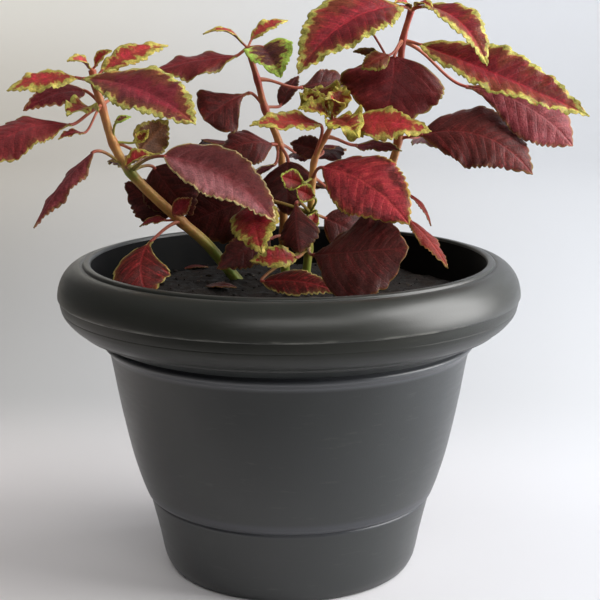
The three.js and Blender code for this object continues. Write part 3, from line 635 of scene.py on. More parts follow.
# The upper half of the rim stands out over the lower half along a parting line.
RIM_UPPER_FACE = [
    (124.75, 152.9), (125.05, 153.2), (125.1, 153.7), (125.0, 155.4), (124.6, 157.8), (123.6, 161.0),
    (121.9, 164.2), (119.4, 167.0), (116.6, 168.9), (114.2, 169.8), (112.4, 169.9), (111.7, 169.5),
]
LIP = [
    (111.2, 169.6), (110.9, 170.5), (110.3, 171.0), (109.4, 171.2), (108.3, 171.2), (107.4, 170.8),
    (106.9, 169.6),
]
WALL_TOP = (109.4, 170.5)
INSIDE_TOP = 166.0 * MM
INSIDE_FOOT = 0.9 * FLOOR
NEAR_WALL = 0.2 * MM
RIM_UNDERSIDE_HEIGHTS = (130.0 * MM, 152.8 * MM)
INNER_WALL_HEIGHTS = [160, 150, 138, 126, 98, 64, 46, 20, 8]
# Where the inside wall ends, and how the inside rounds into the floor: steps inwards and up, in millimetres.
INNER_FOOT = 6
FLOOR_ROUNDING = [(1, 0.6), (3, 0)]
FLAT_RADII = (0.0, 30.0, 50.0)
# Numbers of the pot's materials.
OUTSIDE, INSIDE, UNDERSIDE = range(3)


def outer_radius(z):
    """Radius of the outside at a height, in millimetres, as if the wall went straight on inside the rim."""
    rows = FOOT_AND_BODY[4:] + UPPER_BODY + [WALL_TOP]
    for (r0, z0), (r1, z1) in zip(rows, rows[1:]):
        if z <= z1:
            return r0 + (r1 - r0) * max(0.0, (z - z0) / (z1 - z0))
    return rows[-1][0]


def inner_radius(z):
    """Radius of the inside face of the wall, in metres, at a height in millimetres."""
    return outer_radius(z) * MM - WALL


def smooth_run(run, per_span=3):
    return [tuple(p) for p in spline([(r, z, 0) for r, z in run], per_span)[:, :2]]


def make_pot(outside, inside, underside):
    outer = [(r, 0.0) for r in FLAT_RADII] + smooth_run(FOOT_AND_BODY) + smooth_run(STEP, 2)
    outer += smooth_run(UPPER_BODY) + smooth_run(BEAD, 2)
    rim = smooth_run(RIM_HOLLOW) + RIM_HOLLOW_BACK + smooth_run(RIM_UNDERSIDE)
    rim += smooth_run(RIM_LOWER_FACE) + smooth_run(RIM_UPPER_FACE) + smooth_run(LIP)
    profile = [(r * MM, z * MM) for r, z in outer + rim]
    profile += [(inner_radius(z), z * MM) for z in INNER_WALL_HEIGHTS]
    profile += [(inner_radius(INNER_FOOT) - step * MM, FLOOR + up * MM) for step, up in FLOOR_ROUNDING]
    profile += [(r * MM, FLOOR) for r in reversed(FLAT_RADII)]
    mesh = lathe_mesh("pot_body", profile, POT_SIDES)
    pot = add_piece("pot_body", mesh, [outside, inside, underside], ("pot",))
    for x, y, _ in circle(DRAIN_RING, 0.0, DRAIN_COUNT, 0.5):
        cut_drain(pot, x, y)
    for face in pot.data.polygons:
        face.use_smooth = True
        x, y, z = face.center
        on_wall = math.hypot(x, y) < inner_radius(z / MM) + NEAR_WALL
        if on_wall and INSIDE_TOP > z > INSIDE_FOOT:
            face.material_index = INSIDE
        elif RIM_UNDERSIDE_HEIGHTS[0] < z < RIM_UNDERSIDE_HEIGHTS[1]:
            face.material_index = UNDERSIDE
        else:
            face.material_index = OUTSIDE


def cut_drain(pot, x, y):
    """Cuts one drain hole through the pot's floor."""
    profile = [(0.0, -FLOOR), (DRAIN_RADIUS, -FLOOR), (DRAIN_RADIUS, 2 * FLOOR), (0.0, 2 * FLOOR)]
    cutter = add_object("drain_cutter", lathe_mesh("drain_cutter", profile, DRAIN_SIDES), [])
    cutter.location = (x, y, 0)
    cut = pot.modifiers.new("drain", "BOOLEAN")
    cut.operation = "DIFFERENCE"
    cut.object = cutter
    bpy.context.view_layer.update()
    shaped = bpy.data.meshes.new_from_object(pot.evaluated_get(bpy.context.evaluated_depsgraph_get()))
    pot.modifiers.clear()
    pot.data = shaped
    bpy.data.objects.remove(cutter)


# ---------- soil

SOIL_Z = 151.0 * MM
SOIL_GAP = 0.3 * MM
SOIL_LUMP = 0.9 * MM
SOIL_RIPPLE = 0.6 * MM
SOIL_GRAIN = 1.1 * MM
# How fast the broad lumps and the ripples turn, per millimetre of x and of y.
BROAD_PACE = (0.11, 0.09)
BROAD_START = 1.3
RIPPLE_PACE = (0.21, 0.17)
COARSE_GRAIN = 210
FINE_GRAIN = 520
FINE_GRAIN_SHARE = 0.55
SOIL_EDGE_DROP = 2.0 * MM
SOIL_EDGE_START = 0.086
SOIL_EDGE_WIDTH = 0.012
SOIL_RIM_SINK = 0.6 * MM
SOIL_TOP_HEIGHT = 149
SOIL_SIDES = 220
SOIL_RINGS = 62
SOIL_RING_SPACING = 1.15
SOIL_FOOT_STEP = 1.5 * MM
# Heights, in millimetres, of the rings down the pot's wall.
SOIL_WALL_HEIGHTS = (126, 98, 64, 46, 20, FLOOR / MM + 0.3)
CRUMB_COUNT = 420
CHIP_COUNT = 46
CRUMB_SIZES = (0.9 * MM, 3.6 * MM)
CHIP_SIZES = (1.0 * MM, 3.2 * MM)
CRUMB_FLATNESS = 0.75
CHIP_FLATNESS = 0.4
SCATTER_RADIUS = 0.1
LUMP_TILT = 0.5
LUMP_LENGTH = (0.8, 1.6)
LUMP_BREADTH = (0.7, 1.1)
LUMP_ROUGHNESS = (0.72, 1.15)
LUMP_LIFT = 0.2


def soil_height(x, y):
    """Height of the soil's surface: broad lumps, then grains."""
    broad = math.sin(x / MM * BROAD_PACE[0] + BROAD_START) * math.cos(y / MM * BROAD_PACE[1])
    ripple = math.sin(x / MM * RIPPLE_PACE[0] - y / MM * RIPPLE_PACE[1])
    grain = noise.noise(Vector((x, y, 0.3)) * COARSE_GRAIN)
    grain += FINE_GRAIN_SHARE * noise.noise(Vector((x, y, 0.7)) * FINE_GRAIN)
    edge = min(1.0, max(0.0, (math.hypot(x, y) - SOIL_EDGE_START) / SOIL_EDGE_WIDTH))
    drop = SOIL_EDGE_DROP * edge * edge
    return SOIL_Z + SOIL_LUMP * broad + SOIL_RIPPLE * ripple + SOIL_GRAIN * grain - drop


def make_soil(material):
    """One fill: rings of its rough surface from the edge to the centre, then rings down the pot's wall."""
    top_radius = inner_radius(SOIL_TOP_HEIGHT) - SOIL_GAP
    points = []
    for row in range(SOIL_RINGS):
        r = top_radius * (1 - (row / SOIL_RINGS) ** SOIL_RING_SPACING)
        for x, y, _ in circle(r, 0.0, SOIL_SIDES, 0.5 * (row % 2)):
            points.append((x, y, soil_height(x, y) if row else SOIL_Z - SOIL_EDGE_DROP - SOIL_RIM_SINK))
    for z in SOIL_WALL_HEIGHTS:
        r = inner_radius(max(z, INNER_FOOT)) - SOIL_GAP - (SOIL_FOOT_STEP if z < INNER_FOOT else 0)
        points += circle(r, z * MM, SOIL_SIDES)
    rings = [range(start, start + SOIL_SIDES) for start in range(0, len(points), SOIL_SIDES)]
    surface = rings[:SOIL_RINGS] + [[len(points)] * SOIL_SIDES]
    wall = rings[:SOIL_RINGS - 1:-1] + rings[:1]
    points.append((0, 0, soil_height(0, 0)))
    mesh = build_mesh("soil_fill", points, skin(surface) + skin(wall) + [tuple(reversed(wall[0]))])
    add_piece("soil_fill", mesh, [material], ("soil",))


BALL = [(0, 0, -1), (0.894, 0, -0.447), (0.276, 0.851, -0.447), (-0.724, 0.526, -0.447),
        (-0.724, -0.526, -0.447), (0.276, -0.851, -0.447), (0.724, 0.526, 0.447), (-0.276, 0.851, 0.447),
        (-0.894, 0, 0.447), (-0.276, -0.851, 0.447), (0.724, -0.526, 0.447), (0, 0, 1)]
BALL_FACES = [(0, 2, 1), (0, 3, 2), (0, 4, 3), (0, 5, 4), (0, 1, 5), (1, 2, 6), (2, 3, 7), (3, 4, 8),
              (4, 5, 9), (5, 1, 10), (1, 6, 10), (2, 7, 6), (3, 8, 7), (4, 9, 8), (5, 10, 9), (6, 7, 11),
              (7, 8, 11), (8, 9, 11), (9, 10, 11), (10, 6, 11)]


def scatter_lumps(name, count, sizes, flatness, material, seed):
    """Loose crumbs half sunk in the soil's surface, joined in one piece."""
    draw = random.Random(seed)
    points, faces = [], []
    for _ in range(count):
        turn = draw.uniform(0, 2 * math.pi)
        r = SCATTER_RADIUS * math.sqrt(draw.random())
        size = sizes[0] + (sizes[1] - sizes[0]) * draw.random() ** 3
        x, y = r * math.cos(turn), r * math.sin(turn)
        spin = Matrix.Rotation(draw.uniform(0, 2 * math.pi), 3, "Z")
        tip = Matrix.Rotation(draw.uniform(-LUMP_TILT, LUMP_TILT), 3, "X")
        stretch = Vector((draw.uniform(*LUMP_LENGTH), draw.uniform(*LUMP_BREADTH),
                          flatness * draw.uniform(*LUMP_BREADTH)))
        place = Vector((x, y, soil_height(x, y) + LUMP_LIFT * size * flatness))
        first = len(points)
        for corner in BALL:
            bent = Vector(corner) * (size / 2 * draw.uniform(*LUMP_ROUGHNESS))
            points.append(place + spin @ tip @ Vector(a * b for a, b in zip(bent, stretch)))
        faces.extend(tuple(first + k for k in face) for face in BALL_FACES)
    add_piece(name, build_mesh(name, points, faces), [material])


# ---------- blades

NECK_HALF_WIDTH = 1.3 * MM
TIP_HALF_WIDTH = 0.4 * MM
OUTLINE_FULLNESS = 0.9
WAVE_TURNS = 5
# Where the wave starts on the right and on the left of the midrib.
WAVE_STARTS = (1.1, 0.3)
ROWS_PER_TOOTH = 6
HALF_COLUMNS = 12
COLUMN_SPACING = 0.92
TANGENT_STEP = 0.01
FEWEST_TEETH = 4
FEWEST_VEINS = 3
BLADE_HALF_THICKNESS = 0.24 * MM
EDGE_THINNING = 0.45
# Shares of the way from the midrib to the margin: where the blade thins and where its teeth start.
THIN_ZONE = (0.75, 1.0)
TOOTHED_ZONE = (0.62, 1.0)
# The shares of a blade's length over which the teeth start and end.
TEETH_START = (0.04, 0.14)
TEETH_END = (0.95, 1.0)
TOOTH_SHARE = 0.11
TOOTH_PITCH = (1.7 * MM, 3.5 * MM)
TOOTH_DEPTH = 0.3
TOOTH_DEPTH_SPREAD = (0.5, 1.35)
DEEPEST_NOTCH = 0.3
FIRST_TOOTH = (0.3, 0.6)
TOOTH_SWAY = 0.35
TOOTH_SWAY_TURNS = 2.2
TOOTH_HOOK = 1.25
TOOTH_SHARPNESS = 2.1
TOOTH_LEAN = 0.22
TOOTH_TILT = 0.1
# Height of the margin's ruffles as a share of the blade's width.
RUFFLE = 0.012
RUFFLE_PACE = 0.75 * math.pi
SLOW_RUFFLE = 0.6
SLOW_RUFFLE_PACE = 0.55 * RUFFLE_PACE
RUFFLES = {"frill": 0.11, "bright": 0.03, "ring": 0.02, "edged": 0.02, "dusky": 0.02}
CAMBER = 0.10
EDGE_DROOP = 0.03
VEIN_SPACING = 6.5 * MM
VEIN_SLANT = 0.62
VEIN_CURL = 0.16
VEIN_WOBBLE = 0.12
WOBBLE_SCALE = 90
QUILT_RISE = 0.0122
QUILT_START = (0.0, 0.25)
QUILT_END = (0.7, 1.0)
QUILT_FADE = 0.75
CRUMPLE_RISE = 0.012
CRUMPLE_SCALE = 150
RIB_SINK = 0.22 * MM
RIB_SINK_REACH = 2.6 * MM
RIB_KEEL = 0.62 * MM
RIB_KEEL_REACH = 1.5 * MM
RIB_KEEL_START = (0.0, 0.05)
RIB_KEEL_TAPER = 0.7
# A blade narrower than this has a margin that is narrower in the same measure.
FULL_MARGIN_FROM = 18 * MM
TIP_MARGIN = 0.8
# A blade narrower than this has a shallower keel in the same measure.
FULL_KEEL_FROM = 20 * MM


def metres(millimetres):
    return np.array(millimetres, dtype=float) / 1000


def leaf(at, base, tip, width, face, arch, fold, wave, look, sweep=0.0, wide=0.4):
    """A blade: the stem point that its petiole leaves from, then in millimetres its two ends and its width,
    the way that its upper face looks, and how it is bent. It is widest at the share wide of its length."""
    return {"at": at, "base": metres(base), "tip": metres(tip), "width": width / 1000,
            "face": np.array(face, dtype=float), "arch": arch, "fold": fold, "wave": wave, "look": look,
            "sweep": sweep, "wide": wide}


def blade_frame(row):
    """Directions along, to the left and up from a blade, and its length."""
    along = unit(row["tip"] - row["base"])
    up = unit(row["face"] - along * row["face"].dot(along))
    return along, np.cross(up, along), up, np.linalg.norm(row["tip"] - row["base"])


def rib_points(row, s):
    """Points of the midrib at shares s of its length."""
    along, across, up, length = blade_frame(row)
    bow = 4 * s * (1 - s)
    return (row["base"] + np.outer(length * s, along) + np.outer(length * row["arch"] * bow, up)
            + np.outer(length * row["sweep"] * bow, across))


def rows_unit(vectors):
    return vectors / np.linalg.norm(vectors, axis=1, keepdims=True)


def smooth_step(value, low, high):
    t = np.clip((value - low) / (high - low), 0, 1)
    return t * t * (3 - 2 * t)


def bell(distance, reach):
    return np.exp(-((distance / reach) ** 2))


def field_noise(points, scale, seed):
    """Smooth noise at each point of an array, from about -1 to 1."""
    shift = Vector((seed * 3.17, seed * 1.31, seed * 2.23))
    values = [noise.noise(Vector(p) * scale + shift) for p in points.reshape(-1, 3)]
    return np.array(values).reshape(points.shape[:-1])


def side_teeth(row, s, teeth, pitch, edge, wave_start, draw):
    """One side of a blade: depth and lean of its notches, rise of its ruffles and teeth, and its wave."""
    toothed = smooth_step(s, *TEETH_START) * (1 - smooth_step(s, *TEETH_END))
    depths = np.array([draw.uniform(*TOOTH_DEPTH_SPREAD) for _ in range(teeth + 3)]) * TOOTH_DEPTH * pitch
    bend = draw.uniform(0, 2 * math.pi)
    sway = TOOTH_SWAY * np.sin(2 * np.pi * TOOTH_SWAY_TURNS * s + bend)
    place = teeth * s + sway + draw.uniform(*FIRST_TOOTH)
    lobe = np.abs(2 * np.mod(place, 1) ** TOOTH_HOOK - 1) ** TOOTH_SHARPNESS
    tooth, share = np.floor(place + 0.5).astype(int), np.mod(place + 0.5, 1)
    this, following = (depths[np.clip(tooth + k, 0, teeth + 2)] for k in (0, 1))
    notch = np.minimum(lobe * (this * (1 - share) + following * share) * toothed, edge * DEEPEST_NOTCH)
    lean = (1 - lobe) * toothed * TOOTH_LEAN * pitch
    ruffles = np.sin(RUFFLE_PACE * place + bend)
    ruffles += SLOW_RUFFLE * np.sin(SLOW_RUFFLE_PACE * place + 2 * bend)
    ruffles = ruffles * RUFFLES.get(row["look"], RUFFLE) * row["width"] * toothed
    wave = np.sin(np.pi * (WAVE_TURNS * s + wave_start))
    return notch, lean, ruffles, (lobe - 0.5) * TOOTH_TILT * pitch * toothed, wave


def blade_faces(rows, columns):
    """Faces of a blade's upper and lower sheet and of the edge between them."""
    grid = np.arange(rows * columns).reshape(rows, columns)
    total = grid.size
    faces = []
    for a in grid[:-1, :-1].ravel().tolist():
        faces.append((a, a + columns, a + columns + 1, a + 1))
        faces.append((total + a, total + a + 1, total + a + columns + 1, total + a + columns))
    loop = np.concatenate([grid[0], grid[1:, -1], grid[-1, -2::-1], grid[-2:0:-1, 0]]).tolist()
    faces.extend((a, b, total + b, total + a) for a, b in zip(loop, loop[1:] + loop[:1]))
    return faces


def blade_points(row, seed):
    """Vertices, faces and attributes of one toothed blade with its veins pressed in."""
    width = row["width"]
    _, leftward, _, length = blade_frame(row)
    pitch = min(max(TOOTH_SHARE * length, TOOTH_PITCH[0]), TOOTH_PITCH[1])
    teeth = max(FEWEST_TEETH, round(length / pitch))
    veins = max(FEWEST_VEINS, round(length / VEIN_SPACING))

    # Rows run along the blade at shares s, columns across it at shares v: -1 right, 0 midrib, 1 left.
    s = np.linspace(0, 1, teeth * ROWS_PER_TOOTH + 1)
    half = np.linspace(0, 1, HALF_COLUMNS + 1) ** COLUMN_SPACING
    v = np.concatenate([-half[:0:-1], half])
    grid = (len(s), len(v))
    rib = rib_points(row, s)
    along = rows_unit(rib_points(row, s + TANGENT_STEP) - rib_points(row, s - TANGENT_STEP))
    across = rows_unit(leftward - along * (along @ leftward)[:, None])
    normal = np.cross(along, across)[:, None]
    peak = math.log(0.5) / math.log(row["wide"])
    outline = np.maximum(0, np.sin(np.pi * s ** peak)) ** OUTLINE_FULLNESS
    edge = np.maximum(outline * width / 2, np.where(s < 0.5, NECK_HALF_WIDTH, TIP_HALF_WIDTH))
    draw = random.Random(seed)
    right, left = (side_teeth(row, s, teeth, pitch, edge, start, draw) for start in WAVE_STARTS)
    notch, lean, ruffles, tilt, wave = (
        np.where(v > 0, b[:, None], a[:, None]) for a, b in zip(right, left))
    s, outline, edge = s[:, None], outline[:, None], edge[:, None]

    size = np.abs(v)
    outer = smooth_step(size, *TOOTHED_ZONE)
    out = size * edge - notch * outer
    lift = row["fold"] * size * edge + row["wave"] * width * size ** 2 * wave * outline
    lift += CAMBER * edge * size * (1 - size) - EDGE_DROOP * edge * size ** 4
    lift += ruffles * size ** 3 + tilt * outer
    middle = (rib[:, None] + across[:, None] * (np.sign(v) * out)[..., None] + normal * lift[..., None]
              + along[:, None] * (lean * outer)[..., None])

    slant = (VEIN_SLANT * size + VEIN_CURL * size ** 2) * edge / length
    phase = veins * (s - slant) + 0.5 + VEIN_WOBBLE * field_noise(middle, WOBBLE_SCALE, seed) * size
    gap = np.abs(np.mod(phase, 1) - 0.5) * 2
    rise = QUILT_RISE * width * np.sqrt(gap) * smooth_step(size, *QUILT_START)
    relief = rise * (1 - QUILT_FADE * smooth_step(size, *QUILT_END)) * outline
    relief -= RIB_SINK * bell(size * width, RIB_SINK_REACH)
    relief += field_noise(middle, CRUMPLE_SCALE, seed + 0.5) * CRUMPLE_RISE * width * outline
    thick = BLADE_HALF_THICKNESS * (1 - EDGE_THINNING * smooth_step(size, *THIN_ZONE))
    keel = bell(v * width, RIB_KEEL_REACH) * RIB_KEEL * (1 - RIB_KEEL_TAPER * s)
    keel *= smooth_step(s, *RIB_KEEL_START) * min(1.0, width / FULL_KEEL_FROM)
    upper = middle + normal * (relief + thick)[..., None]
    lower = middle + normal * (relief - thick - keel)[..., None]

    to_margin = np.maximum(0, (1 - size) * edge - notch * (1 - outer)) / MM
    to_margin = np.minimum(to_margin, (1 - s) * length / MM * TIP_MARGIN)
    facts = {"vein_phase": phase, "vein_pitch": length / veins / MM, "rib_distance": size * edge / MM,
             "margin_distance": to_margin * max(1.0, FULL_MARGIN_FROM / width), "cross": v, "along": s,
             "tint": draw.random()}
    attributes = {key: np.tile(np.broadcast_to(value, grid).ravel(), 2) for key, value in facts.items()}
    attributes["under"] = np.repeat([0.0, 1.0], size.size * s.size)
    points = np.concatenate([upper.reshape(-1, 3), lower.reshape(-1, 3)])
    return points, blade_faces(*grid), attributes


def join_parts(name, parts):
    """One mesh from several lists of points, faces, attributes and material numbers."""
    points, faces, slots = [], [], []
    attributes = {}
    for part_points, part_faces, part_attributes, slot in parts:
        first = len(points)
        points.extend(part_points)
        faces.extend(tuple(first + k for k in face) for face in part_faces)
        slots.extend([slot] * len(part_faces))
        for key, values in part_attributes.items():
            attributes.setdefault(key, []).extend(values)
    return build_mesh(name, points, faces, attributes, slots)


# ---------- stems and petioles

ROOT_DEPTH = 24 * MM
STEM_SIDES = 20
STEM_STEPS = 14
STEM_SQUARENESS = 3.6
NODE_SWELL = 0.2
NODE_REACH = 3.2 * MM
PETIOLE_HALF = 1.0 * MM
YOUNG_PETIOLE_HALF = 0.75 * MM
PETIOLE_FLARE = 1.35
PETIOLE_NECK = 0.86
PETIOLE_FLARE_REACH = 0.35
PETIOLE_RISE = 0.3
PETIOLE_START_PULL = 0.35
PETIOLE_END_PULL = 0.3
PETIOLE_TUCK = 1.2 * MM
PETIOLE_STEPS = 22
PETIOLE_SIDES = 12
PETIOLE_SQUARENESS = 2.3

# Green and blush of each stem: the height up to which it is green, the share of green and of red above.
STEM_TINTS = {"left": (0.178, 0.06, 0.0), "back": (0.165, 0.02, 0.2), "middle": (0.175, 0.08, 0.2),
              "right": (0.16, 0.03, 0.3)}
GREEN_FADE = 12 * MM
TOP_BLUSH = 0.6
TOP_BLUSH_HEIGHTS = (0.215, 0.268)
NODE_BLUSH = 0.3
# Points of each stem's path with a green collar, from which green petioles leave.
GREEN_NODES = {"left": (3,), "middle": (1, 2)}
COLLAR_REACH = 6.0 * MM
COLLAR_GREEN = 0.85
PETIOLE_GREEN = 0.8
PETIOLE_FAINT_GREEN = 0.05
# Blush of a petiole at its stem, and how much is added towards its blade.
PETIOLE_BLUSH = (0.76, 0.22)
PETIOLE_RIDGE = 0.8


def stem_curve(stem):
    path = list(stem["path"])
    root = path[0] + unit(path[0] - path[1]) * ROOT_DEPTH
    return spline([root] + path, STEM_STEPS)


def petiole_curve(stem, row):
    """From the stem's middle, rising a little, to just inside the blade's neck."""
    start = stem["path"][row["at"]]
    behind, ahead = rib_points(row, np.array([-TANGENT_STEP, TANGENT_STEP]))
    direction = unit(ahead - behind)
    end = row["base"] + direction * PETIOLE_TUCK
    reach = np.linalg.norm(end - start)
    out = unit(unit(end - start) + np.array((0, 0, PETIOLE_RISE)))
    c1 = start + out * reach * PETIOLE_START_PULL
    c2 = end - direction * reach * PETIOLE_END_PULL
    t = np.linspace(0, 1, PETIOLE_STEPS + 1)[:, None]
    return (1 - t) ** 3 * start + 3 * (1 - t) ** 2 * t * c1 + 3 * (1 - t) * t ** 2 * c2 + t ** 3 * end


def stem_part(name, stem):
    """The stem itself, swollen at its nodes, with its green foot, green collars and red blush."""
    tint_height, green_above, blush_above = STEM_TINTS[name]
    path = stem_curve(stem)
    height = path[:, 2]
    swell = np.zeros(len(path))
    collar = np.zeros(len(path))
    for at in {row["at"] for row in stem["leaves"] + stem["young"]}:
        distance = np.linalg.norm(path - stem["path"][at], axis=1)
        swell = np.maximum(swell, bell(distance, NODE_REACH))
        if at in GREEN_NODES.get(name, ()):
            collar = np.maximum(collar, bell(distance, COLLAR_REACH))
    halves = np.linspace(*stem["thickness"], len(path)) / 2 * (1 + NODE_SWELL * swell)
    points, faces = tube(path, halves, STEM_SIDES, STEM_SQUARENESS)
    low = 1 - smooth_step(height, tint_height - GREEN_FADE, tint_height + GREEN_FADE)
    green = np.clip(np.maximum(low, green_above + COLLAR_GREEN * collar), 0, 1)
    top = TOP_BLUSH * smooth_step(height, *TOP_BLUSH_HEIGHTS)
    blush = np.clip(blush_above + top + NODE_BLUSH * swell, 0, 1)
    turns = (np.arange(STEM_SIDES) + 0.5) / STEM_SIDES * 2 * math.pi
    return points, faces, {
        "green": np.repeat(green, STEM_SIDES), "blush": np.repeat(blush, STEM_SIDES),
        "ridge": np.tile(np.sin(2 * turns) ** 2, len(path))}, 0


def petiole_part(name, stem, row, half):
    shares = np.linspace(0, 1, PETIOLE_STEPS + 1)
    spread = smooth_step(shares, 0.0, PETIOLE_FLARE_REACH)
    taper = half * (PETIOLE_FLARE + (PETIOLE_NECK - PETIOLE_FLARE) * spread)
    points, faces = tube(petiole_curve(stem, row), taper, PETIOLE_SIDES, PETIOLE_SQUARENESS)
    if row["look"] in LIME_LOOKS and half < PETIOLE_HALF:
        green = np.full(len(shares), PETIOLE_GREEN)
    elif row["at"] in GREEN_NODES.get(name, ()):
        green = PETIOLE_GREEN * (1 - shares)
    else:
        green = np.full(len(shares), PETIOLE_FAINT_GREEN)
    blush = PETIOLE_BLUSH[0] + PETIOLE_BLUSH[1] * shares
    return points, faces, {
        "green": np.repeat(green, PETIOLE_SIDES), "blush": np.repeat(blush, PETIOLE_SIDES),
        "ridge": np.full(len(points), PETIOLE_RIDGE)}, 0


def make_stem(name, stem, material):
    """One stem with all of its petioles, in one piece."""
    parts = [stem_part(name, stem)]
    for rows, half in ((stem["leaves"], PETIOLE_HALF), (stem["young"], YOUNG_PETIOLE_HALF)):
        parts += [petiole_part(name, stem, row, half) for row in rows]
    piece_name = name + "_stem_and_petioles"
    add_piece(piece_name, join_parts(piece_name, parts), [material], (name + "_stem",))


LIME_LOOKS = ("frill", "lime", "ring")


def make_blade(piece_name, node_name, row, seed, materials):
    mesh = join_parts(piece_name, [(*blade_points(row, seed), 0)])
    add_piece(piece_name, mesh, [materials[row["look"]]], (node_name,))


def make_young(name, rows, seed, materials):
    """The smallest blades of a stem, in one piece."""
    looks = list(dict.fromkeys(row["look"] for row in rows))
    parts = [(*blade_points(row, seed + i), looks.index(row["look"])) for i, row in enumerate(rows)]
    mesh = join_parts(name + "_young_blades", parts)
    add_piece(name + "_young_blades", mesh, [materials[look] for look in looks])


# ---------- the plant's layout

# Each stem's path, from the soil up, and its blades, in millimetres.
LEFT_PATH = [
    (-31, 36, 153), (-47, 26, 175), (-60, 20, 188), (-86, 8, 217), (-94, 3, 233), (-99, -1, 253),
    (-102, -3, 265), (-103, -4, 272),
]
LEFT_LEAVES = [
    leaf(6, (-111, -4, 268), (-146, -16, 262), 18, (0, -0.7, 1), 0.1, -0.1, 0.05, "bright", wide=0.45),
    leaf(6, (-99, 2, 271), (-65, 22, 284), 18, (0, -0.7, 1), 0.08, 0.1, 0.05, "bright"),
    leaf(6, (-107, -12, 268), (-46, -50, 247), 36, (0.1, -0.75, 1), 0.06, 0.1, 0.03, "dusky", sweep=0.05,
         wide=0.52),
    leaf(5, (-108, 2, 261), (-143, 10, 250), 20, (0, 0.8, 1), 0.14, -0.1, 0.02, "ruby"),
    leaf(5, (-114, -12, 244), (-163, -46, 222), 33, (-0.2, -0.7, 1), 0.16, -0.1, 0.05, "plum", wide=0.52),
    leaf(5, (-102, -12, 252), (-113, -30, 250), 18, (-0.3, -1, 1), 0.1, 0.3, 0.14, "edged"),
    leaf(4, (-81, 12, 228), (-66, 22, 244), 21, (0.4, 1, 0.4), 0.1, 0.1, 0.05, "olive"),
    leaf(3, (-104, -4, 229), (-134, -22, 191), 19, (-0.7, -0.5, 0.6), 0.05, -0.3, 0.08, "rose"),
    leaf(2, (-66, 32, 190), (-93, 40, 207), 26, (-0.3, -1, 0.4), 0.05, -0.1, 0.04, "dark"),
    leaf(3, (-74, 20, 218), (-54, 30, 190), 35, (-0.3, -1, 0.4), 0.08, -0.15, 0.03, "dark"),
    leaf(3, (-66, -8, 227), (-7, -26, 194), 40, (0.4, -0.8, 1), 0.03, 0.06, 0.02, "mauve", sweep=0.12,
         wide=0.38),
    leaf(2, (-74, -5, 181), (-74, -30, 155), 31, (0, -1, 0.5), 0.12, -0.15, 0.04, "wine", sweep=-0.12,
         wide=0.62),
    leaf(5, (-93, 16, 257), (-80, 54, 250), 30, (0, 0.2, 1), 0.12, -0.1, 0.04, "edged"),
    leaf(3, (-82, 28, 222), (-98, 66, 213), 28, (-0.2, 0.3, 1), 0.1, -0.12, 0.03, "plum"),
]
LEFT_YOUNG = [
    leaf(5, (-107, -17, 240), (-118, -29, 238), 7, (0, -0.5, 1), 0.1, 0.2, 0.1, "plum"),
    leaf(4, (-92, -1, 244), (-84, 3, 247), 6, (0, -0.6, 1), 0.1, 0.2, 0, "lime"),
    leaf(4, (-83, 5, 233), (-75, 5, 240), 7, (0, -1, 0.4), -0.1, 0.3, 0.05, "frill"),
    leaf(3, (-87, -2, 221), (-72, 2, 227), 12, (0, -0.4, 1), 0.1, 0.5, 0.02, "bright"),
    leaf(2, (-64, 14, 193), (-53, 12, 202), 11, (-0.3, -1, 0.3), -0.1, 0.3, 0.02, "ruby"),
    leaf(2, (-68, 16, 189), (-83, 20, 185), 8, (0, -0.5, 1), 0.1, 0.2, 0.05, "plum"),
    leaf(7, (-104, -8, 273), (-114, -17, 277), 9, (0.2, -0.6, 1), 0.2, 0.4, 0.04, "bright"),
    leaf(7, (-101, -4, 274), (-92, -6, 282), 8, (-0.3, -0.8, 0.8), 0.15, 0.4, 0.04, "bright"),
]
BACK_PATH = [
    (-2, 52, 153), (-3, 49, 174), (-3, 46, 196), (-5, 40, 228), (-13, 35, 249), (-17, 32, 265),
    (-22, 29, 282),
]
BACK_LEAVES = [
    leaf(6, (-28, 29, 278), (-74, 22, 270), 27, (0, -0.5, 1), 0.04, -0.2, 0.07, "plum", wide=0.5),
    leaf(6, (-14, 25, 283), (-4, 8, 267), 28, (0.2, -1, 0.6), 0.1, 0.35, 0.05, "lime", wide=0.3),
    leaf(4, (-21, 31, 258), (-46, 16, 244), 33, (-0.2, -1, 0.5), 0.1, -0.1, 0.05, "maroon", wide=0.72),
    leaf(4, (-4, 42, 250), (6, 54, 266), 12, (-0.6, -1, 0.3), 0.05, 0.2, 0.04, "dark"),
    leaf(5, (7, 42, 260), (34, 54, 263), 20, (0, -1, 0.5), 0.06, -0.15, 0.05, "dark", wide=0.6),
    leaf(3, (-9, 34, 229), (-37, 20, 226), 29, (0, -0.9, 1), 0.14, -0.2, 0.03, "maroon", wide=0.5),
    leaf(3, (-8, 28, 218), (-28, 16, 208), 18, (0.2, 0.6, 1), 0.08, -0.1, 0.03, "mauve"),
    leaf(3, (0, 28, 220), (0, 12, 192), 30, (-0.2, -1, 0.3), 0.1, -0.1, 0.03, "dark"),
    leaf(2, (-14, 42, 200), (-62, 38, 182), 44, (0, -1, 0.5), 0.06, -0.1, 0.03, "dark"),
    leaf(1, (-11, 30, 176), (-40, 14, 162), 22, (0, -1, 0.6), 0.1, -0.1, 0.03, "dark"),
    leaf(3, (6, 60, 222), (30, 92, 214), 40, (0, 0.4, 1), 0.12, -0.15, 0.03, "maroon"),
    leaf(3, (-24, 54, 226), (-52, 80, 218), 38, (0, 0.4, 1), 0.12, -0.15, 0.03, "maroon"),
    leaf(1, (-4, 64, 186), (-14, 100, 178), 34, (0, 0.4, 1), 0.12, -0.12, 0.03, "maroon"),
]
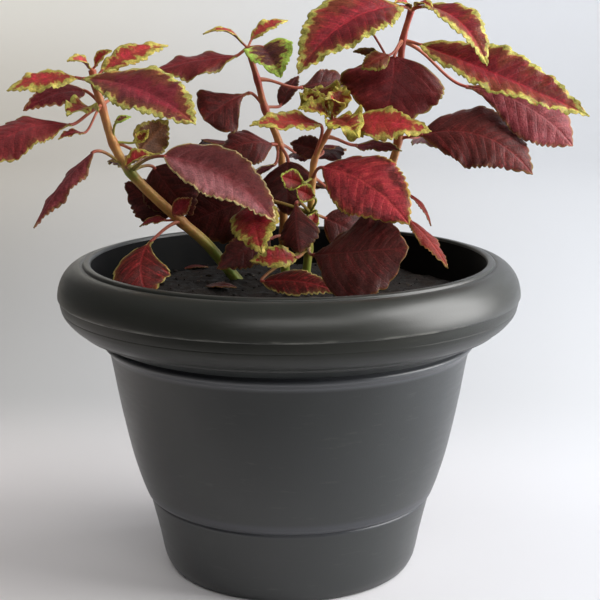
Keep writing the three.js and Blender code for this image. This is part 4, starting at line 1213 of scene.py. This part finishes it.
BACK_YOUNG = [
    leaf(6, (-25, 27, 285), (-46, 20, 290), 9, (0, -0.3, 1), 0.2, 0.2, 0.02, "bright"),
    leaf(6, (-20, 32, 287), (0, 40, 297), 12, (0, -0.5, 1), 0.1, 0.2, 0.04, "bright"),
]
MIDDLE_PATH = [
    (9, 16, 153), (11, 13, 173), (12, 10, 193), (13, 6, 213), (14, 4, 223), (20, 1, 236), (24, -2, 244),
]
MIDDLE_LEAVES = [
    leaf(4, (17, -4, 243), (-20, -22, 244), 19, (0, -0.6, 1), 0.06, 0.1, 0.06, "bright"),
    leaf(6, (20, 2, 250), (15, 16, 262), 25, (0, -0.8, 1), 0.1, 0.15, 0.1, "frill"),
    leaf(6, (31, -4, 243), (75, -14, 240), 24, (0, -0.9, 1), 0.1, -0.1, 0.05, "bright"),
    leaf(6, (25, -8, 246), (36, -28, 238), 21, (0, -0.8, 1), 0.14, 0.1, 0.14, "frill"),
    leaf(5, (36, 6, 231), (62, 15, 227), 16, (0, 0.5, 1), 0.08, -0.1, 0.04, "plum"),
    leaf(4, (19, 14, 227), (1, 22, 231), 14, (0, -1, 0.3), 0.05, 0.1, 0.04, "dark"),
    leaf(3, (18, -10, 221), (61, -48, 196), 39, (-0.2, -1, 0.8), 0.09, -0.1, 0.02, "crimson", sweep=0.06,
         wide=0.46),
    leaf(2, (4, -9, 202), (6, -28, 178), 22, (-0.2, -1, 0.3), 0.12, -0.5, 0.03, "dark", wide=0.6),
    leaf(2, (-20, 2, 202), (-14, -30, 178), 28, (-0.3, -1, 0.6), 0.1, -0.1, 0.04, "bright"),
    leaf(1, (4, -2, 171), (-21, -12, 171), 14, (0, -1, 0.6), 0.1, 0.15, 0.04, "bright"),
    leaf(1, (13, -16, 175), (61, -46, 184), 60, (0.05, -1, 0.9), 0.1, -0.08, 0.02, "dark", sweep=-0.08,
         wide=0.6),
    leaf(1, (-14, -8, 159), (27, -22, 156), 19, (0, -0.8, 1), 0.1, -0.1, 0.03, "wine"),
    leaf(2, (20, 16, 190), (44, 20, 176), 26, (0.1, -1, 0.5), 0.1, -0.1, 0.03, "dark"),
    leaf(3, (22, 26, 206), (32, 64, 196), 32, (0.1, 0.4, 1), 0.12, -0.12, 0.03, "wine"),
]
MIDDLE_YOUNG = [
    leaf(3, (8, -4, 212), (-4, -14, 217), 12, (0, -1, 0.2), -0.2, 0.3, 0.04, "ring"),
    leaf(2, (14, -3, 204), (4, -11, 210), 11, (0, -1, 0.2), -0.2, 0.3, 0.04, "ring"),
    leaf(2, (15, -4, 196), (12, -14, 190), 8, (0.3, -1, 0.4), -0.25, 0.4, 0.06, "ring"),
    leaf(6, (21, -5, 248), (5, -14, 252), 12, (0.3, -0.8, 0.8), 0.15, 0.4, 0.1, "frill"),
    leaf(6, (26, -3, 250), (30, 2, 263), 13, (-0.2, -1, 0.4), 0.12, 0.35, 0.1, "frill"),
    leaf(6, (23, -6, 248), (19, -17, 257), 11, (0.1, -0.6, 0.9), 0.3, 0.4, 0.1, "bright"),
    leaf(6, (22, -1, 249), (7, 4, 259), 12, (0.2, -1, 0.5), 0.12, 0.3, 0.1, "frill"),
]
RIGHT_PATH = [
    (38, 42, 153), (47, 38, 185), (56, 32, 212), (61, 27, 232), (61, 22, 262), (62, 18, 286), (66, 15, 302),
]
RIGHT_LEAVES = [
    leaf(6, (60, 4, 304), (5, -38, 271), 40, (-0.1, -0.8, 1), 0.11, 0.15, 0.03, "edged", sweep=-0.05,
         wide=0.42),
    leaf(6, (72, 8, 304), (102, -22, 274), 26, (0.3, -0.6, 1), 0.16, 0.25, 0.03, "edged"),
    leaf(5, (71, 16, 284), (156, -20, 248), 36, (0.1, -0.8, 1), 0.06, 0.25, 0.03, "edged", sweep=-0.05,
         wide=0.46),
    leaf(5, (98, 28, 261), (156, 18, 229), 35, (0.1, -1, 0.5), 0.1, -0.1, 0.03, "rose", sweep=0.06, wide=0.6),
    leaf(3, (73, 22, 235), (132, 4, 215), 42, (0, -0.9, 0.8), 0.1, -0.1, 0.03, "maroon", sweep=0.13,
         wide=0.44),
    leaf(5, (57, 12, 278), (50, 3, 240), 57, (0, -1, 0.5), 0.12, -0.12, 0.03, "plum", sweep=0.04, wide=0.36),
    leaf(5, (54, 26, 272), (36, 34, 280), 16, (0, 0.5, 1), 0.1, 0.2, 0.03, "olive"),
    leaf(2, (68, 26, 187), (87, 2, 164), 15, (0.6, -0.6, 0.7), 0.05, -0.1, 0.04, "red"),
    leaf(3, (74, 44, 232), (108, 78, 221), 36, (0, 0.4, 1), 0.12, -0.15, 0.03, "plum"),
    leaf(4, (60, 38, 264), (50, 84, 253), 38, (0, 0.2, 1), 0.12, -0.15, 0.03, "maroon"),
    leaf(1, (54, 54, 194), (52, 92, 180), 30, (0, 0.4, 1), 0.12, -0.12, 0.03, "dark"),
]
RIGHT_YOUNG = [
    leaf(2, (66, 28, 202), (79, 18, 185), 6, (0.6, -0.4, 0.8), 0.1, 0.2, 0.02, "red"),
    leaf(6, (65, 12, 303), (56, 4, 306), 8, (0.1, -0.6, 1), 0.15, 0.4, 0.04, "bright"),
    leaf(6, (68, 12, 304), (76, 0, 303), 8, (0.1, -0.6, 1), 0.15, 0.4, 0.04, "bright"),
    leaf(4, (46, 22, 290), (37, 26, 298), 10, (0, -0.6, 1), 0.1, 0.2, 0.03, "plum"),
    leaf(5, (53, -3, 279), (38, -8, 272), 13, (0, -0.8, 0.6), 0.12, -0.2, 0.05, "olive"),
]
# Small leaves that lie on the soil.
FALLEN = [
    leaf(0, (-46, 12, 152.6), (-29, 8, 152.6), 14, (0, 0, 1), 0.06, 0.05, 0, "dark"),
    leaf(0, (-62, 66, 152.6), (-48, 70, 152.6), 9, (0, 0, 1), 0.06, 0.05, 0, "dark"),
]


def stem_row(thickness, path, leaves, young):
    """A stem: its thickness at the foot and at the top, its path, its leaves and its smallest blades."""
    return {"thickness": metres(thickness), "path": metres(path), "leaves": leaves, "young": young}


STEMS = {
    "left": stem_row((6.2, 3.2), LEFT_PATH, LEFT_LEAVES, LEFT_YOUNG),
    "back": stem_row((5.4, 2.8), BACK_PATH, BACK_LEAVES, BACK_YOUNG),
    "middle": stem_row((5.0, 2.4), MIDDLE_PATH, MIDDLE_LEAVES, MIDDLE_YOUNG),
    "right": stem_row((5.8, 3.0), RIGHT_PATH, RIGHT_LEAVES, RIGHT_YOUNG),
}


# ---------- the whole scene

YOUNG_SEED = 700
YOUNG_SEED_STEP = 20
FALLEN_SEED = 900
CRUMB_SEED = 11
CHIP_SEED = 12


def make_plant():
    pattern = make_blade_pattern()
    materials = {look: blade_material(look, pattern) for look in LOOKS}
    bark = stem_material()
    seed = 1
    for number, (name, stem) in enumerate(STEMS.items()):
        make_stem(name, stem, bark)
        for i, row in enumerate(stem["leaves"], 1):
            make_blade(f"{name}_blade_{i}", f"{name}_leaf_{i}", row, seed, materials)
            seed += 1
        make_young(name, stem["young"], YOUNG_SEED + YOUNG_SEED_STEP * number, materials)
    for i, row in enumerate(FALLEN, 1):
        make_blade(f"fallen_blade_{i}", f"fallen_leaf_{i}", row, FALLEN_SEED + i, materials)


make_camera()
make_lights()
make_floor()
make_pot(plastic_material("dark_plastic", PLASTIC_SPECULAR), inside_material(),
         plastic_material("rim_underside", UNDERSIDE_SPECULAR))
earth = soil_material()
make_soil(earth)
scatter_lumps("soil_crumbs", CRUMB_COUNT, CRUMB_SIZES, CRUMB_FLATNESS, earth, CRUMB_SEED)
scatter_lumps("bark_chips", CHIP_COUNT, CHIP_SIZES, CHIP_FLATNESS, chip_material(), CHIP_SEED)
make_plant()
